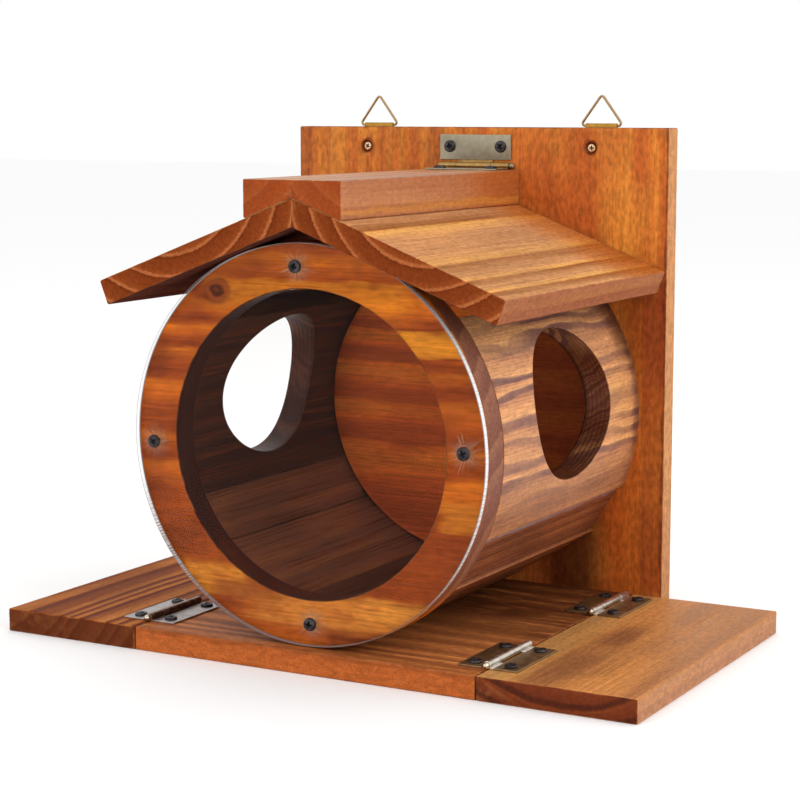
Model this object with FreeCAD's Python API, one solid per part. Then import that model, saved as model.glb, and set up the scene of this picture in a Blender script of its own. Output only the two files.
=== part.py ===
"""Squirrel feeder box: a coopered barrel with a round window, under a roof that lifts on a hinge.

Millimetres, +Z up, +X to the feeder's right as seen from the front, +Y to the back.
The origin is the centre of the base's underside, halfway between its front and rear edges.
Every piece is a separate solid, written to parts/NAME.step.
"""
import FreeCAD
import Part
import math
import os
from FreeCAD import Vector

# Base boards
BOARD = 14.0
CENTRE_WIDTH = 224.0
WING_WIDTH = 94.0
BASE_DEPTH = 220.0
WING_GAP = 0.5
EASED_EDGE = 0.8

# Back board
BACK_WIDTH = 262.0
BACK_HEIGHT = 304.0
BACK_THICKNESS = 15.0

# Barrel, lying along Y with its ring standing on the base
BARREL_RADIUS = 114.5
RING_BORE_RADIUS = 88.0
RING_THICKNESS = 18.0
WINDOW_THICKNESS = 4.0
WINDOW_RADIUS = 114.2
WINDOW_SETBACK = 7.5
REAR_DISC_RADIUS = 96.9
REAR_DISC_THICKNESS = 15.0
SIDE_STAVE_BORE = 97.6
FLAT_STAVE = 13.0
SIDE_STAVE_TOP = 41.0
SIDE_STAVE_FOOT = -24.0
LOWER_STAVE_FOOT = -42.0
BOTTOM_STAVE_FOOT = -74.0
STAVE_JOINT = 0.15
LOWER_STAVE_INSET = 2.2
LOWER_STAVE_ROUND = 6.0

# Entrance hole in each side stave: an oval bored straight through along X
HOLE_LENGTH = 103.0
HOLE_HEIGHT = 87.0
HOLE_Z = 146.0

# Roof
ROOF_SLOPE = 21.0
ROOF_BOARD = 15.0
ROOF_HALF_WIDTH = 131.0
ROOF_OVERHANG = 3.0
ROOF_BACK_GAP = 1.0
ROOF_REST = 0.3
RIDGE_HALF_WIDTH = 31.5
RIDGE_TOP = 277.5

# Butt hinges: two leaves on one pin, the middle knuckle as long as the other two together
LEAF_THICKNESS = 1.0
KNUCKLE_RADIUS = 2.2
KNUCKLE_LIFT = 0.15
KNUCKLE_GAP = 0.3
MIDDLE_KNUCKLE = 0.5
PLATE_EDGE = 3.6
LEAF_CORNER = 0.4
PIN_RADIUS = 1.25
PIN_CLEARANCE = 0.08
PIN_BALL = 1.9
PIN_BALL_REACH = 1.4
WING_HINGE = {"length": 53.0, "leaf": 18.0, "screw_pitch": 38.0, "screw_offset": 10.8}
WING_HINGE_Y = {"front": -69.0, "rear": 72.0}
ROOF_HINGE = {"length": 50.0, "leaf": 19.5, "screw_pitch": 36.0, "screw_offset": 12.0}

# Screws: hinge screws, window screws and the larger frame screws with sunk heads.
# The tip and the head's bevel are shares of the shank's radius and of the head's height.
HINGE_SCREW = {"head": 3.8, "height": 1.8, "shank": 1.6, "length": 11.0}
WINDOW_SCREW = {"head": 3.9, "height": 2.2, "shank": 1.6, "length": 16.0}
FOOT_SCREW = {"head": 4.2, "height": 2.2, "shank": 2.0, "length": 30.0}
BACK_SCREW = {"head": 4.2, "height": 2.2, "shank": 2.0, "length": 38.0}
DISC_SCREW = {"head": 4.2, "height": 2.2, "shank": 2.0, "length": 26.0}
POINT_LENGTH = 1.8
BLUNT_LENGTH = 0.3
BLUNT_RADIUS = 0.7
HEAD_BEVEL = 0.5
HINGE_HOLE_RADIUS = 1.9
WINDOW_SCREW_CIRCLE = 101.0
WINDOW_SCREW_TURN = 2.4
DISC_SCREW_CIRCLE = 70.0
FOOT_SCREW_X = 14.0
BACK_SCREW_X = 80.0

# Hangers: a wire ring with a straight foot, in the eye of a folded strap, on a bolt through the board
HANGER_X = 79.5
HANGER_BOLT_Z = 291.5
COUNTERBORE_RADIUS = 4.0
COUNTERBORE_DEPTH = 2.5
HANGER_BOLT = {"head": 2.8, "height": 2.0, "shank": 1.5}
STRAP_WIDTH = 21.0
STRAP_THICKNESS = 0.7
STRAP_FOOT_Z = 284.0
STRAP_FOOT_ROUND = 1.5
NUT_ACROSS_FLATS = 5.5
NUT_THICKNESS = 2.4
BOLT_END = 0.8
HANGER_WIRE = 0.8
HANGER_WIRE_CLEARANCE = 0.08
HANGER_AXIS_Z = 305.0
HANGER_RING_HEIGHT = 19.4
HANGER_RING_HALF_WIDTH = 14.5
HANGER_RING_BEND = 1.6

# Places that follow from the sizes above
FRONT_Y = -BASE_DEPTH / 2
BACK_Y = BASE_DEPTH / 2
AXIS_Z = BOARD + BARREL_RADIUS
WINDOW_Y = FRONT_Y + WINDOW_SETBACK
RING_Y = WINDOW_Y + WINDOW_THICKNESS
STAVE_Y = RING_Y + RING_THICKNESS
STAVE_LENGTH = BACK_Y - STAVE_Y
SLOPE = math.radians(ROOF_SLOPE)
ROOF_APEX_UNDER = AXIS_Z + (BARREL_RADIUS + ROOF_REST) / math.cos(SLOPE)
ROOF_APEX = ROOF_APEX_UNDER + ROOF_BOARD / math.cos(SLOPE)
ROOF_LENGTH = BACK_Y - ROOF_BACK_GAP - (FRONT_Y - ROOF_OVERHANG)
HINGE_SEAT = KNUCKLE_RADIUS + KNUCKLE_LIFT
WING_HINGE_X = CENTRE_WIDTH / 2 + WING_GAP / 2
WING_HINGE_Z = BOARD + HINGE_SEAT
ROOF_HINGE_Y = BACK_Y - HINGE_SEAT
ROOF_HINGE_Z = RIDGE_TOP + HINGE_SEAT
STRAP_BACK_Y = BACK_Y + BACK_THICKNESS + 2 * STRAP_THICKNESS
STRAP_EYE = HANGER_WIRE + HANGER_WIRE_CLEARANCE
HANGER_AXIS_Y = BACK_Y + BACK_THICKNESS + STRAP_EYE + STRAP_THICKNESS

# How near an edge must be to a plane or a line to be picked as lying on it
NEAR = 0.01

X_AXIS = Vector(1, 0, 0)
Y_AXIS = Vector(0, 1, 0)
Z_AXIS = Vector(0, 0, 1)


def board(low, high):
    """A sawn board between two corners, with every edge slightly eased."""
    size = Vector(*high) - Vector(*low)
    solid = Part.makeBox(size.x, size.y, size.z, Vector(*low))
    return solid.makeChamfer(EASED_EDGE, solid.Edges)


def polygon_prism(points, along):
    """A prism on a closed polygon of 3-D points, pushed along a vector."""
    face = Part.Face(Part.makePolygon(points + [points[0]]))
    return face.extrude(along)


def cylinder(radius, length, base, direction):
    """A round bar of the given length, starting at base."""
    return Part.makeCylinder(radius, length, Vector(*base), direction)


def mirrored(shape):
    """The same piece on the other side of the feeder's middle plane."""
    return shape.mirror(Vector(0, 0, 0), X_AXIS)


def on_barrel(radius, degrees, y):
    """A point at a radius and an angle above the right-hand horizontal of the barrel's axis."""
    angle = math.radians(degrees)
    return Vector(radius * math.cos(angle), y, AXIS_Z + radius * math.sin(angle))


def cut_all(solid, tools):
    """The solid with every tool cut out of it."""
    for tool in tools:
        solid = solid.cut(tool)
    return solid


def pan_screw(seat, tip_direction, size, pointed=True):
    """A pan-head screw whose head stands on the point seat: a bevelled head, a shank and a cone tip."""
    shank = size["shank"]
    tip = POINT_LENGTH * shank if pointed else BLUNT_LENGTH * shank
    end_radius = 0.0 if pointed else BLUNT_RADIUS * shank
    head = Part.makeCylinder(size["head"], size["height"], Vector(0, 0, -size["height"]))
    rim = [edge for edge in head.Edges if edge.BoundBox.ZMax < NEAR - size["height"]]
    head = head.makeChamfer(HEAD_BEVEL * size["height"], rim)
    body = Part.makeCylinder(shank, size["length"] - tip)
    point = Part.makeCone(shank, end_radius, tip, Vector(0, 0, size["length"] - tip))
    screw = head.fuse([body, point])
    screw.Placement = FreeCAD.Placement(Vector(*seat), FreeCAD.Rotation(Z_AXIS, tip_direction))
    return screw


# Base

def base_board():
    """The centre board, bored for the screws that hold the ring and the back board."""
    solid = board((-CENTRE_WIDTH / 2, FRONT_Y, 0), (CENTRE_WIDTH / 2, BACK_Y, BOARD))
    return cut_all(solid, ring_foot_screws() + base_back_screws() + wing_hinge_inner_screws())


def wing_board():
    """The right wing board, its end clear of the back board so that it can fold up."""
    inner = CENTRE_WIDTH / 2 + WING_GAP
    solid = board((inner, FRONT_Y, 0), (inner + WING_WIDTH, BACK_Y - WING_GAP, BOARD))
    return cut_all(solid, wing_hinge_outer_screws())


# Frame screws, hidden in use

def ring_foot_screws():
    """Two screws up through the centre board into the foot of the ring, heads sunk flush."""
    y = RING_Y + RING_THICKNESS / 2
    seats = [(x, y, FOOT_SCREW["height"]) for x in (-FOOT_SCREW_X, FOOT_SCREW_X)]
    return [pan_screw(seat, Z_AXIS, FOOT_SCREW) for seat in seats]


def base_back_screws():
    """Three screws through the back board into the rear edge of the centre board, heads sunk flush."""
    y = BACK_Y + BACK_THICKNESS - BACK_SCREW["height"]
    seats = [(x, y, BOARD / 2) for x in (-BACK_SCREW_X, 0, BACK_SCREW_X)]
    return [pan_screw(seat, -Y_AXIS, BACK_SCREW) for seat in seats]


def rear_disc_screws():
    """Four screws through the back board into the rear disc, heads sunk flush."""
    y = BACK_Y + BACK_THICKNESS - DISC_SCREW["height"]
    seats = [on_barrel(DISC_SCREW_CIRCLE, 45 + 90 * quarter, y) for quarter in range(4)]
    return [pan_screw(seat, -Y_AXIS, DISC_SCREW) for seat in seats]


# Back board and hangers

def back_board():
    """The back board, bored for its screws, with a counterbore for each hanger bolt."""
    solid = board((-BACK_WIDTH / 2, BACK_Y, 0), (BACK_WIDTH / 2, BACK_Y + BACK_THICKNESS, BACK_HEIGHT))
    solid = cut_all(solid, base_back_screws() + rear_disc_screws() + roof_hinge_back_screws())
    for x in (-HANGER_X, HANGER_X):
        mouth = (x, BACK_Y, HANGER_BOLT_Z)
        solid = solid.cut(cylinder(COUNTERBORE_RADIUS, COUNTERBORE_DEPTH, mouth, Y_AXIS))
        solid = solid.cut(cylinder(HANGER_BOLT["shank"], BACK_THICKNESS, mouth, Y_AXIS))
    return solid


def hanger_bolts():
    """Two small bolts, each with its head in a counterbore and its end through the nut."""
    seat_y = BACK_Y + COUNTERBORE_DEPTH
    size = dict(HANGER_BOLT, length=STRAP_BACK_Y + NUT_THICKNESS + BOLT_END - seat_y)
    return [pan_screw((x, seat_y, HANGER_BOLT_Z), Y_AXIS, size, pointed=False) for x in (-HANGER_X, HANGER_X)]


def hanger_nuts():
    """A hexagon nut on each hanger bolt, behind the strap."""
    nuts = []
    corner = NUT_ACROSS_FLATS / math.sqrt(3)
    for x in (-HANGER_X, HANGER_X):
        centre = Vector(x, STRAP_BACK_Y, HANGER_BOLT_Z)
        turns = [math.radians(60 * side) for side in range(6)]
        points = [centre + Vector(math.cos(turn), 0, math.sin(turn)) * corner for turn in turns]
        nut = polygon_prism(points, Vector(0, NUT_THICKNESS, 0))
        nuts.append(nut.cut(cylinder(HANGER_BOLT["shank"], NUT_THICKNESS, centre, Y_AXIS)))
    return nuts


def hanger_strap():
    """The right strap: a strip folded double round the ring's foot, flat on the back board."""
    left = HANGER_X - STRAP_WIDTH / 2
    back = BACK_Y + BACK_THICKNESS
    eye = (left, HANGER_AXIS_Y, HANGER_AXIS_Z)
    doubled = 2 * STRAP_THICKNESS
    legs = Part.makeBox(STRAP_WIDTH, doubled, HANGER_AXIS_Z - STRAP_FOOT_Z, Vector(left, back, STRAP_FOOT_Z))
    foot = [edge for edge in legs.Edges
            if edge.BoundBox.ZMax < STRAP_FOOT_Z + NEAR and edge.BoundBox.YLength > STRAP_THICKNESS]
    legs = legs.makeFillet(STRAP_FOOT_ROUND, foot)
    strap = legs.fuse(cylinder(STRAP_EYE + STRAP_THICKNESS, STRAP_WIDTH, eye, X_AXIS))
    strap = strap.cut(cylinder(STRAP_EYE, STRAP_WIDTH, eye, X_AXIS))
    return strap.cut(cylinder(HANGER_BOLT["shank"], doubled, (HANGER_X, back, HANGER_BOLT_Z), Y_AXIS))


def hanger_ring():
    """The right wire ring: a triangle with rounded corners, its straight foot in the strap's eye."""
    foot_z = HANGER_AXIS_Z
    corners = [
        Vector(HANGER_X - HANGER_RING_HALF_WIDTH, HANGER_AXIS_Y, foot_z),
        Vector(HANGER_X + HANGER_RING_HALF_WIDTH, HANGER_AXIS_Y, foot_z),
        Vector(HANGER_X, HANGER_AXIS_Y, foot_z + HANGER_RING_HEIGHT),
    ]
    path = rounded_loop(corners, HANGER_RING_BEND)
    foot = path.Edges[0]
    section = Part.Wire([Part.Circle(foot.valueAt(foot.FirstParameter), X_AXIS, HANGER_WIRE).toShape()])
    sweep = Part.BRepOffsetAPI.MakePipeShell(path)
    sweep.add(section)
    sweep.build()
    sweep.makeSolid()
    return sweep.shape()


def rounded_loop(corners, radius):
    """A closed wire through the corners, each rounded by a tangent arc of the given radius."""
    bends = []
    for index, corner in enumerate(corners):
        back = (corners[index - 1] - corner).normalize()
        ahead = (corners[(index + 1) % len(corners)] - corner).normalize()
        half_angle = back.getAngle(ahead) / 2
        setback = radius / math.tan(half_angle)
        centre_way = (back + ahead).normalize()
        centre = corner + centre_way * (radius / math.sin(half_angle))
        bends.append((corner + back * setback, centre - centre_way * radius, corner + ahead * setback))
    edges = []
    for bend, following in zip(bends, bends[1:] + bends[:1]):
        edges.append(Part.makeLine(bend[2], following[0]))
        edges.append(Part.Arc(*following).toShape())
    return Part.Wire(edges)


# Barrel

def window_screws():
    """Four pan-head screws through the window into the ring."""
    turns = [WINDOW_SCREW_TURN + 90 * quarter for quarter in range(4)]
    return [pan_screw(on_barrel(WINDOW_SCREW_CIRCLE, turn, WINDOW_Y), Y_AXIS, WINDOW_SCREW) for turn in turns]


def front_ring():
    """The wooden ring, bored for the window and lightly eased at both rims."""
    centre = (0, RING_Y, AXIS_Z)
    ring = cylinder(BARREL_RADIUS, RING_THICKNESS, centre, Y_AXIS)
    ring = ring.cut(cylinder(RING_BORE_RADIUS, RING_THICKNESS, centre, Y_AXIS))
    rims = [edge for edge in ring.Edges if len(edge.Vertexes) == 1]
    ring = ring.makeChamfer(EASED_EDGE, rims)
    return cut_all(ring, window_screws() + ring_foot_screws())


def window_disc():
    """The clear disc over the whole front of the ring."""
    disc = cylinder(WINDOW_RADIUS, WINDOW_THICKNESS, (0, WINDOW_Y, AXIS_Z), Y_AXIS)
    return cut_all(disc, window_screws())


def rear_disc():
    """The disc that closes the barrel, against the back board."""
    centre = (0, BACK_Y - REAR_DISC_THICKNESS, AXIS_Z)
    disc = cylinder(REAR_DISC_RADIUS, REAR_DISC_THICKNESS, centre, Y_AXIS)
    return cut_all(disc, rear_disc_screws())


def side_stave():
    """The right side stave: a thick block worked round outside and in, with the entrance hole."""
    top = SIDE_STAVE_TOP
    foot = SIDE_STAVE_FOOT
    middle = (top + foot) / 2
    outer = Part.Arc(on_barrel(BARREL_RADIUS, foot, STAVE_Y), on_barrel(BARREL_RADIUS, middle, STAVE_Y),
                     on_barrel(BARREL_RADIUS, top, STAVE_Y))
    inner = Part.Arc(on_barrel(SIDE_STAVE_BORE, top, STAVE_Y), on_barrel(SIDE_STAVE_BORE, middle, STAVE_Y),
                     on_barrel(SIDE_STAVE_BORE, foot, STAVE_Y))
    head = Part.makeLine(on_barrel(BARREL_RADIUS, top, STAVE_Y), on_barrel(SIDE_STAVE_BORE, top, STAVE_Y))
    heel = Part.makeLine(on_barrel(SIDE_STAVE_BORE, foot, STAVE_Y), on_barrel(BARREL_RADIUS, foot, STAVE_Y))
    face = Part.Face(Part.Wire([outer.toShape(), head, inner.toShape(), heel]))
    stave = face.extrude(Vector(0, STAVE_LENGTH, 0))
    return stave.cut(entrance_hole())


def entrance_hole():
    """The oval cutter, with its long axis along the barrel and centred on the stave's length."""
    centre = Vector(0, STAVE_Y + STAVE_LENGTH / 2, HOLE_Z)
    long_end = centre + Vector(0, HOLE_LENGTH / 2, 0)
    high_end = centre + Vector(0, 0, HOLE_HEIGHT / 2)
    oval = Part.Ellipse(long_end, high_end, centre)
    face = Part.Face(Part.Wire([oval.toShape()]))
    return face.extrude(Vector(2 * BARREL_RADIUS, 0, 0))


def flat_stave(head, foot, inset=0.0, rounding=0.0):
    """A flat stave between two barrel angles, with mitred edges.

    Its outer face is the chord of the barrel's circle, moved in by inset.
    A rounding eases the outer corner at its head, beside the side stave.
    """
    middle = (head + foot) / 2
    half_turn = math.radians(head - foot) / 2
    outer = BARREL_RADIUS * math.cos(half_turn) - inset
    inner = outer - FLAT_STAVE
    joint = math.radians(middle)
    tangent = Vector(-math.sin(joint), 0, math.cos(joint))
    outer_half = outer * math.tan(half_turn) - STAVE_JOINT / 2
    inner_half = inner * math.tan(half_turn) - STAVE_JOINT / 2
    outer_middle = on_barrel(outer, middle, STAVE_Y)
    inner_middle = on_barrel(inner, middle, STAVE_Y)
    points = [
        outer_middle + tangent * outer_half,
        outer_middle - tangent * outer_half,
        inner_middle - tangent * inner_half,
        inner_middle + tangent * inner_half,
    ]
    stave = polygon_prism(points, Vector(0, STAVE_LENGTH, 0))
    if rounding:
        corner = points[0]
        edges = [edge for edge in stave.Edges
                 if all(math.hypot(v.X - corner.x, v.Z - corner.z) < NEAR for v in edge.Vertexes)]
        stave = stave.makeFillet(rounding, edges)
    return stave


# Roof

def roof_board():
    """The right roof board: plumb cut at the ridge, square cut at the eave."""
    rise = math.tan(SLOPE)
    thickness_x = ROOF_BOARD * math.sin(SLOPE)
    thickness_z = ROOF_BOARD * math.cos(SLOPE)
    front = FRONT_Y - ROOF_OVERHANG
    eave_z = ROOF_APEX - rise * ROOF_HALF_WIDTH
    points = [
        Vector(0, front, ROOF_APEX),
        Vector(ROOF_HALF_WIDTH, front, eave_z),
        Vector(ROOF_HALF_WIDTH - thickness_x, front, eave_z - thickness_z),
        Vector(0, front, ROOF_APEX_UNDER),
    ]
    solid = polygon_prism(points, Vector(0, ROOF_LENGTH, 0))
    eave = [edge for edge in solid.Edges if edge.BoundBox.XMin > ROOF_HALF_WIDTH - thickness_x - NEAR]
    return solid.makeChamfer(EASED_EDGE, eave)


def ridge_block():
    """The right half of the ridge: a block whose underside lies on the roof board's slope."""
    front = FRONT_Y - ROOF_OVERHANG
    foot_z = ROOF_APEX - math.tan(SLOPE) * RIDGE_HALF_WIDTH
    points = [
        Vector(0, front, RIDGE_TOP),
        Vector(RIDGE_HALF_WIDTH, front, RIDGE_TOP),
        Vector(RIDGE_HALF_WIDTH, front, foot_z),
        Vector(0, front, ROOF_APEX),
    ]
    solid = polygon_prism(points, Vector(0, ROOF_LENGTH, 0))
    corner = [edge for edge in solid.Edges
              if edge.BoundBox.XMin > RIDGE_HALF_WIDTH - NEAR and edge.BoundBox.ZMin > RIDGE_TOP - NEAR]
    return solid.makeChamfer(EASED_EDGE, corner)


# Hinges, made with the pin along X through the origin and then placed

def knuckle_spans(length):
    """The start and end, along the pin, of each of the three knuckles."""
    middle = MIDDLE_KNUCKLE * length / 2
    marks = [-length / 2, -middle, middle, length / 2]
    return [(low + KNUCKLE_GAP / 2, high - KNUCKLE_GAP / 2) for low, high in zip(marks, marks[1:])]


def hinge_leaf(size, knuckles, bore):
    """One leaf of a butt hinge, lying in the +Y direction from a pin along X.

    The plate rests on a plane one HINGE_SEAT below the pin and is one with its rolled knuckles,
    whose numbers along the pin are in knuckles. Between them it is notched back to PLATE_EDGE.
    """
    length = size["length"]
    width = size["leaf"]
    low_corner = Vector(-length / 2, PLATE_EDGE, -HINGE_SEAT)
    plate = Part.makeBox(length, width - PLATE_EDGE, LEAF_THICKNESS, low_corner)
    corners = [edge for edge in plate.Edges
               if edge.BoundBox.ZLength > LEAF_THICKNESS / 2 and edge.BoundBox.YMin > width - NEAR]
    leaf = plate.makeFillet(LEAF_CORNER, corners)
    spans = knuckle_spans(length)
    for index in knuckles:
        start, end = spans[index]
        roll = cylinder(KNUCKLE_RADIUS, end - start, (start, 0, 0), X_AXIS)
        web = Part.makeBox(end - start, PLATE_EDGE, LEAF_THICKNESS, Vector(start, 0, -HINGE_SEAT))
        leaf = leaf.fuse([roll, web])
    leaf = leaf.cut(cylinder(bore, length, (-length / 2, 0, 0), X_AXIS))
    for x, y, z in leaf_screw_seats(size):
        leaf = leaf.cut(cylinder(HINGE_HOLE_RADIUS, LEAF_THICKNESS, (x, y, z), -Z_AXIS))
    return leaf.removeSplitter()


def leaf_screw_seats(size):
    """Where the two screw heads of one leaf stand, on its upper face."""
    half = size["screw_pitch"] / 2
    return [(x, size["screw_offset"], LEAF_THICKNESS - HINGE_SEAT) for x in (-half, half)]


def hinge_screws(size):
    """The two screws of one leaf."""
    return [pan_screw(seat, -Z_AXIS, HINGE_SCREW) for seat in leaf_screw_seats(size)]


def hinge_pin(size):
    """The pin: flush with the knuckles at one end, and with a ball tip beyond them at the other."""
    half = size["length"] / 2
    pin = cylinder(PIN_RADIUS, 2 * half + PIN_BALL_REACH, (-half, 0, 0), X_AXIS)
    ball = Part.makeSphere(PIN_BALL, Vector(half + PIN_BALL_REACH, 0, 0), X_AXIS)
    return pin.fuse(ball).removeSplitter()


def placed(shape, position, axis=Z_AXIS, degrees=0):
    """A copy of a shape, turned about an axis through the origin and then moved."""
    move = FreeCAD.Placement(Vector(*position), FreeCAD.Rotation(axis, degrees))
    copy = shape.copy()
    copy.Placement = move.multiply(shape.Placement)
    return copy


def wing_hinge_place(end, side=1):
    """The pin's middle on the wing hinge at the front or rear of the right (1) or left (-1) side."""
    return (side * WING_HINGE_X, WING_HINGE_Y[end], WING_HINGE_Z)


def wing_hinge_leaf(end, side, faces):
    """One leaf of a wing hinge, lying to the right (faces 1) or left (faces -1) of its pin.

    All four hinges are alike and the same way round: the leaf to the left has the middle knuckle
    and the leaf to the right the two outer ones. The leaf on the wing turns on the pin.
    """
    knuckles = (1,) if faces < 0 else (0, 2)
    bore = PIN_RADIUS + PIN_CLEARANCE if faces == side else PIN_RADIUS
    return placed(hinge_leaf(WING_HINGE, knuckles, bore), wing_hinge_place(end, side), Z_AXIS, -90 * faces)


def wing_hinge_pin(end, side):
    """The pin of one wing hinge, with its ball to the front."""
    return placed(hinge_pin(WING_HINGE), wing_hinge_place(end, side), Z_AXIS, -90)


def wing_hinge_screws(degrees):
    """The right wing hinges' screws on the side that a turn of the leaf's screws points to."""
    pair = hinge_screws(WING_HINGE)
    return [placed(screw, wing_hinge_place(end), Z_AXIS, degrees) for end in WING_HINGE_Y for screw in pair]


def wing_hinge_inner_screws():
    """All eight screws into the centre board, four at each side."""
    right = wing_hinge_screws(90)
    return right + [mirrored(screw) for screw in right]


def wing_hinge_outer_screws():
    """The four screws into the right wing board."""
    return wing_hinge_screws(-90)


def roof_hinge_back_leaf():
    """The leaf that stands on the back board, whose middle knuckle grips the pin."""
    leaf = hinge_leaf(ROOF_HINGE, (1,), PIN_RADIUS)
    return placed(leaf, (0, ROOF_HINGE_Y, ROOF_HINGE_Z), X_AXIS, 90)


def roof_hinge_lid_leaf():
    """The leaf that lies on the ridge blocks, whose two outer knuckles turn on the pin."""
    leaf = hinge_leaf(ROOF_HINGE, (0, 2), PIN_RADIUS + PIN_CLEARANCE)
    return placed(leaf, (0, ROOF_HINGE_Y, ROOF_HINGE_Z), Z_AXIS, 180)


def roof_hinge_pin():
    """The pin of the roof hinge, with its ball to the right."""
    return placed(hinge_pin(ROOF_HINGE), (0, ROOF_HINGE_Y, ROOF_HINGE_Z))


def roof_hinge_back_screws():
    """The two screws into the back board."""
    pair = hinge_screws(ROOF_HINGE)
    return [placed(screw, (0, ROOF_HINGE_Y, ROOF_HINGE_Z), X_AXIS, 90) for screw in pair]


def roof_hinge_lid_screws():
    """The two screws into the ridge blocks, one each side of the seam."""
    pair = hinge_screws(ROOF_HINGE)
    return [placed(screw, (0, ROOF_HINGE_Y, ROOF_HINGE_Z), Z_AXIS, 180) for screw in pair]


# All the pieces

def pieces():
    """Every piece by name; a list of solids is a set of identical fasteners."""
    parts = {
        "base_board": base_board(),
        "back_board": back_board(),
        "front_ring": front_ring(),
        "window_disc": window_disc(),
        "window_screws": window_screws(),
        "rear_disc": rear_disc(),
        "bottom_stave": flat_stave(BOTTOM_STAVE_FOOT, -180 - BOTTOM_STAVE_FOOT),
        "ring_foot_screws": ring_foot_screws(),
        "base_back_screws": base_back_screws(),
        "rear_disc_screws": rear_disc_screws(),
        "hanger_bolts": hanger_bolts(),
        "hanger_nuts": hanger_nuts(),
        "wing_hinge_inner_screws": wing_hinge_inner_screws(),
        "roof_hinge_back_leaf": roof_hinge_back_leaf(),
        "roof_hinge_pin": roof_hinge_pin(),
        "roof_hinge_back_screws": roof_hinge_back_screws(),
        "roof_hinge_lid_leaf": roof_hinge_lid_leaf(),
        "roof_hinge_lid_screws": roof_hinge_lid_screws(),
    }
    right = {
        "side_stave": side_stave(),
        "lower_stave": flat_stave(SIDE_STAVE_FOOT, LOWER_STAVE_FOOT, LOWER_STAVE_INSET, LOWER_STAVE_ROUND),
        "bottom_stave": flat_stave(LOWER_STAVE_FOOT, BOTTOM_STAVE_FOOT),
        "roof_board": roof_board(),
        "ridge_block": cut_all(ridge_block(), roof_hinge_lid_screws()),
        "wing_board": wing_board(),
        "wing_hinge_outer_screws": wing_hinge_outer_screws(),
        "hanger_strap": hanger_strap(),
        "hanger_ring": hanger_ring(),
    }
    for name, shape in right.items():
        parts["right_" + name] = shape
        if isinstance(shape, list):
            parts["left_" + name] = [mirrored(one) for one in shape]
        else:
            parts["left_" + name] = mirrored(shape)
    for side, side_name in ((1, "right"), (-1, "left")):
        for end in WING_HINGE_Y:
            hinge = side_name + "_" + end + "_hinge_"
            parts[hinge + "inner_leaf"] = wing_hinge_leaf(end, side, -side)
            parts[hinge + "outer_leaf"] = wing_hinge_leaf(end, side, side)
            parts[hinge + "pin"] = wing_hinge_pin(end, side)
    return parts


os.makedirs("parts", exist_ok=True)
for node, shape in pieces().items():
    solid = Part.makeCompound(shape) if isinstance(shape, list) else shape
    solid.exportStep("parts/" + node + ".step")
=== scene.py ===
import math

import bpy
import numpy as np
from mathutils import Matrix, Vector


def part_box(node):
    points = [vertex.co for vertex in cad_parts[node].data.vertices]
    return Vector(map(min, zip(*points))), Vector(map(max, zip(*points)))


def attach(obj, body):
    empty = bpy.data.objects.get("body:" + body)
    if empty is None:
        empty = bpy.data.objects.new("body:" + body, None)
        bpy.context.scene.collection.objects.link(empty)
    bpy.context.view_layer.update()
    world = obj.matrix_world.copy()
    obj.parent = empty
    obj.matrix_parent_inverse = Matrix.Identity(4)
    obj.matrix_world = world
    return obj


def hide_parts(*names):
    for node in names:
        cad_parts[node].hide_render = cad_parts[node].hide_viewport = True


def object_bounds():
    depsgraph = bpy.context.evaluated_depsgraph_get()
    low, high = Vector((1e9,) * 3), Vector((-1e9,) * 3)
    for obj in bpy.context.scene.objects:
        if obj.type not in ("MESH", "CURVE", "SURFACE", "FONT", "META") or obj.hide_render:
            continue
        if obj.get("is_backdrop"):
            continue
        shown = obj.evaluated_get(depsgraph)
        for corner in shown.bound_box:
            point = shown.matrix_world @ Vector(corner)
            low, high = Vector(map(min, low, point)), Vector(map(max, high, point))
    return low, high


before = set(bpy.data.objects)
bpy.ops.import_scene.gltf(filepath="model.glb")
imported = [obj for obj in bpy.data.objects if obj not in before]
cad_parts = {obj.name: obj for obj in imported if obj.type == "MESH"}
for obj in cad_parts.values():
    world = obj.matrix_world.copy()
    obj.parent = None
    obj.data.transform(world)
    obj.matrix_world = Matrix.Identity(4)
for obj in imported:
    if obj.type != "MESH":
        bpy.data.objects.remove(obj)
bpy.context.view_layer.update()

scene = bpy.context.scene
MM = 0.001


# Studio
# The feeder stands on a plain pale sweep in soft daylight: a large window to its right, a weaker one
# to its left and a broad light overhead.
CAMERA_PLACE = (0.6075, -1.0930, 0.3170)
CAMERA_AZIMUTH = math.radians(28.84)
CAMERA_PITCH = math.radians(-7.94)
CAMERA_LENS = 94.72
CAMERA_SENSOR = 36.0
LIGHTS_AIM = (0, 0, 0.12)
DAYLIGHT = 1.0
SWEEP_HALF = 9.0
SWEEP_TONE = (0.96, 0.96, 0.96, 1.0)
SWEEP_ROUGHNESS = 0.9

camera_data = bpy.data.cameras.new("camera")
camera_data.lens = CAMERA_LENS
camera_data.sensor_width = CAMERA_SENSOR
camera = bpy.data.objects.new("camera", camera_data)
camera.location = CAMERA_PLACE
camera.rotation_euler = (math.pi / 2 + CAMERA_PITCH, 0, CAMERA_AZIMUTH)
scene.collection.objects.link(camera)
scene.camera = camera


def soft_light(name, place, size, power):
    """A square lamp at a place, turned towards the middle of the barrel."""
    lamp = bpy.data.lights.new(name, "AREA")
    lamp.size = size
    lamp.energy = power
    light = bpy.data.objects.new(name, lamp)
    light.location = place
    towards = Vector(LIGHTS_AIM) - Vector(place)
    light.rotation_euler = towards.to_track_quat("-Z", "Y").to_euler()
    scene.collection.objects.link(light)


soft_light("right_window", (1.7, -0.5, 1.0), 1.2, 11)
soft_light("left_window", (-0.9, -1.8, 0.9), 1.3, 5)
soft_light("overhead", (0.1, 0.3, 1.9), 1.4, 5)

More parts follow.
